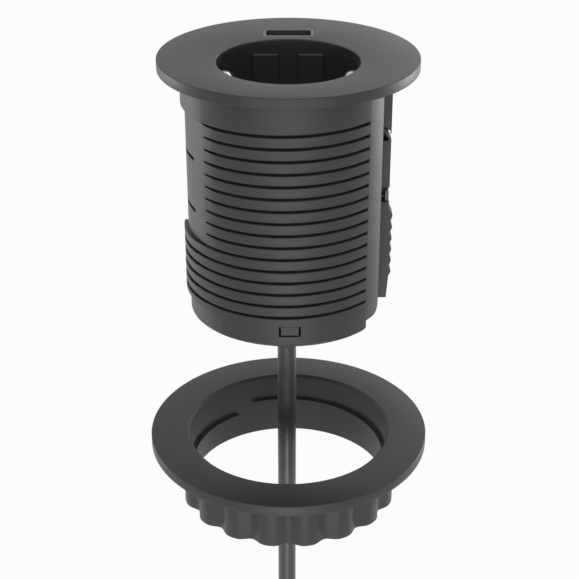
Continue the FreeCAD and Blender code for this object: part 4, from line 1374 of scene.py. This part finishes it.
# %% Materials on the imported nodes
NODE_FINISH = {
    "live_contact": BRASS, "neutral_contact": BRASS, "terminal_screws": STEEL,
    "contact_cover": LATCH_GREY, "insert_screws": STEEL, "charging_port_shell": PORT_STEEL,
    "charging_port_tongue": INNER_BLACK, "charging_port_contacts": BRASS,
    "charger_board": BOARD, "charger_transformer": INNER_BLACK, "board_capacitors": CAN,
    "board_chips": INNER_BLACK, "live_lead": BROWN_WIRE, "neutral_lead": BLUE_WIRE,
    "earth_lead": EARTH_WIRE, "cord_grip_bar": INNER_BLACK, "grip_screws": STEEL,
    "plug_pins": STEEL, "plug_earth_strips": STEEL,
}
for name, material in NODE_FINISH.items():
    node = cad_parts[name]
    node.data.materials.clear()
    node.data.materials.append(material)
print("painted", len(NODE_FINISH), "packed nodes")

# %% [markdown]
# ## Floor and background
#
# The photograph has a white ground. The floor and the world are white only for rays that look: from
# the camera, off something shiny, or through glass. Rays that light the object see a grey floor and
# a dim world, so the object isn't flooded from below. A small share of the real floor is kept under
# the white, and with it the object's shadow.

# %% Floor and world
FLOOR_DROP = 0.001
FLOOR_SIZE = 30.0
FLOOR_GREY = 0.35
FLOOR_WHITE_SHARE = 0.97
AMBIENT_STRENGTH = 0.06
WHITE = (1.0, 1.0, 1.0, 1.0)

deselect_all()
bpy.ops.mesh.primitive_plane_add(size=FLOOR_SIZE, location=(0, 0, cad_box[0][2] - FLOOR_DROP))
floor = bpy.context.object
floor.name = "floor"
settle(floor)


def looking_share(tree):
    """1 for a ray from the camera, off a glossy surface or through glass, and 0 for the rest."""
    path = tree.nodes.new("ShaderNodeLightPath")
    camera_ray, glossy_ray, glass_ray = (
        Field(tree, path.outputs[kind])
        for kind in ("Is Camera Ray", "Is Glossy Ray", "Is Transmission Ray")
    )
    return (camera_ray + glossy_ray + glass_ray).at_most(1.0)


def mix_shaders(tree, share, shader, looked_at):
    """Shader where share is 0 and looked_at where it is 1."""
    mix = tree.nodes.new("ShaderNodeMixShader")
    tree.links.new(share.socket, mix.inputs[0])
    tree.links.new(shader, mix.inputs[1])
    tree.links.new(looked_at, mix.inputs[2])
    return mix.outputs[0]


def floor_paper():
    material = bpy.data.materials.new("floor_paper")
    material.use_nodes = True
    tree = material.node_tree
    paper = tree.nodes["Principled BSDF"]
    paper.inputs["Base Color"].default_value = (FLOOR_GREY, FLOOR_GREY, FLOOR_GREY, 1.0)
    paper.inputs["Roughness"].default_value = 0.9
    paper.inputs["Specular IOR Level"].default_value = 0.0
    glow = tree.nodes.new("ShaderNodeEmission")
    share = looking_share(tree) * FLOOR_WHITE_SHARE
    shown = mix_shaders(tree, share, paper.outputs[0], glow.outputs[0])
    tree.links.new(shown, tree.nodes["Material Output"].inputs["Surface"])
    return material


def background(tree, node, strength):
    node.inputs["Color"].default_value = WHITE
    node.inputs["Strength"].default_value = strength
    return node.outputs[0]


floor.data.materials.append(floor_paper())

world = bpy.data.worlds.new("studio")
bpy.context.scene.world = world
world.use_nodes = True
sky = world.node_tree
ambient = background(sky, sky.nodes["Background"], AMBIENT_STRENGTH)
backdrop = background(sky, sky.nodes.new("ShaderNodeBackground"), 1.0)
seen_sky = mix_shaders(sky, looking_share(sky), ambient, backdrop)
sky.links.new(seen_sky, sky.nodes["World Output"].inputs["Surface"])
print("floor at", round(floor.data.vertices[0].co.z, 4), "m")

# %% [markdown]
# ## Lights
#
# A softbox stands low behind the object at each side, the right one stronger, and the two draw the
# bright edges of the tube. A broad low one in front lights the thread, and one above it fills the
# flange and the recess. A small one near the floor gives the lead its bright middle. The last, high
# behind at the right, makes the flange fade from its bright far side to its darker near side.

# %% Lights
LIGHT_AIM = Vector((0, 0, -0.06))
# name: (place, size, power in watts), in metres
SOFTBOXES = {
    "right_back_light": ((1.1, 0.62, -0.19), (0.4, 0.44), 8.2),
    "left_back_light": ((-1.15, 0.52, -0.19), (0.4, 0.44), 3.9),
    "front_light": ((0.0, -0.95, -0.31), (1.1, 0.16), 2.8),
    "front_fill": ((0.0, -1.0, 0.6), (0.6, 0.4), 2.3),
    "lead_light": ((0.0, -0.40, -0.385), (0.20, 0.10), 0.36),
    "rear_light": ((0.52, 1.25, 0.40), (0.7, 0.4), 1.6),
}
for name, (place, size, power) in SOFTBOXES.items():
    light = bpy.data.lights.new(name, "AREA")
    light.shape = "RECTANGLE"
    light.size, light.size_y = size
    light.energy = power
    lamp = bpy.data.objects.new(name, light)
    lamp.location = place
    lamp.rotation_euler = (LIGHT_AIM - Vector(place)).to_track_quat("-Z", "Y").to_euler()
    bpy.context.scene.collection.objects.link(lamp)
bpy.context.scene.view_settings.view_transform = "Standard"
print("softboxes", len(SOFTBOXES))
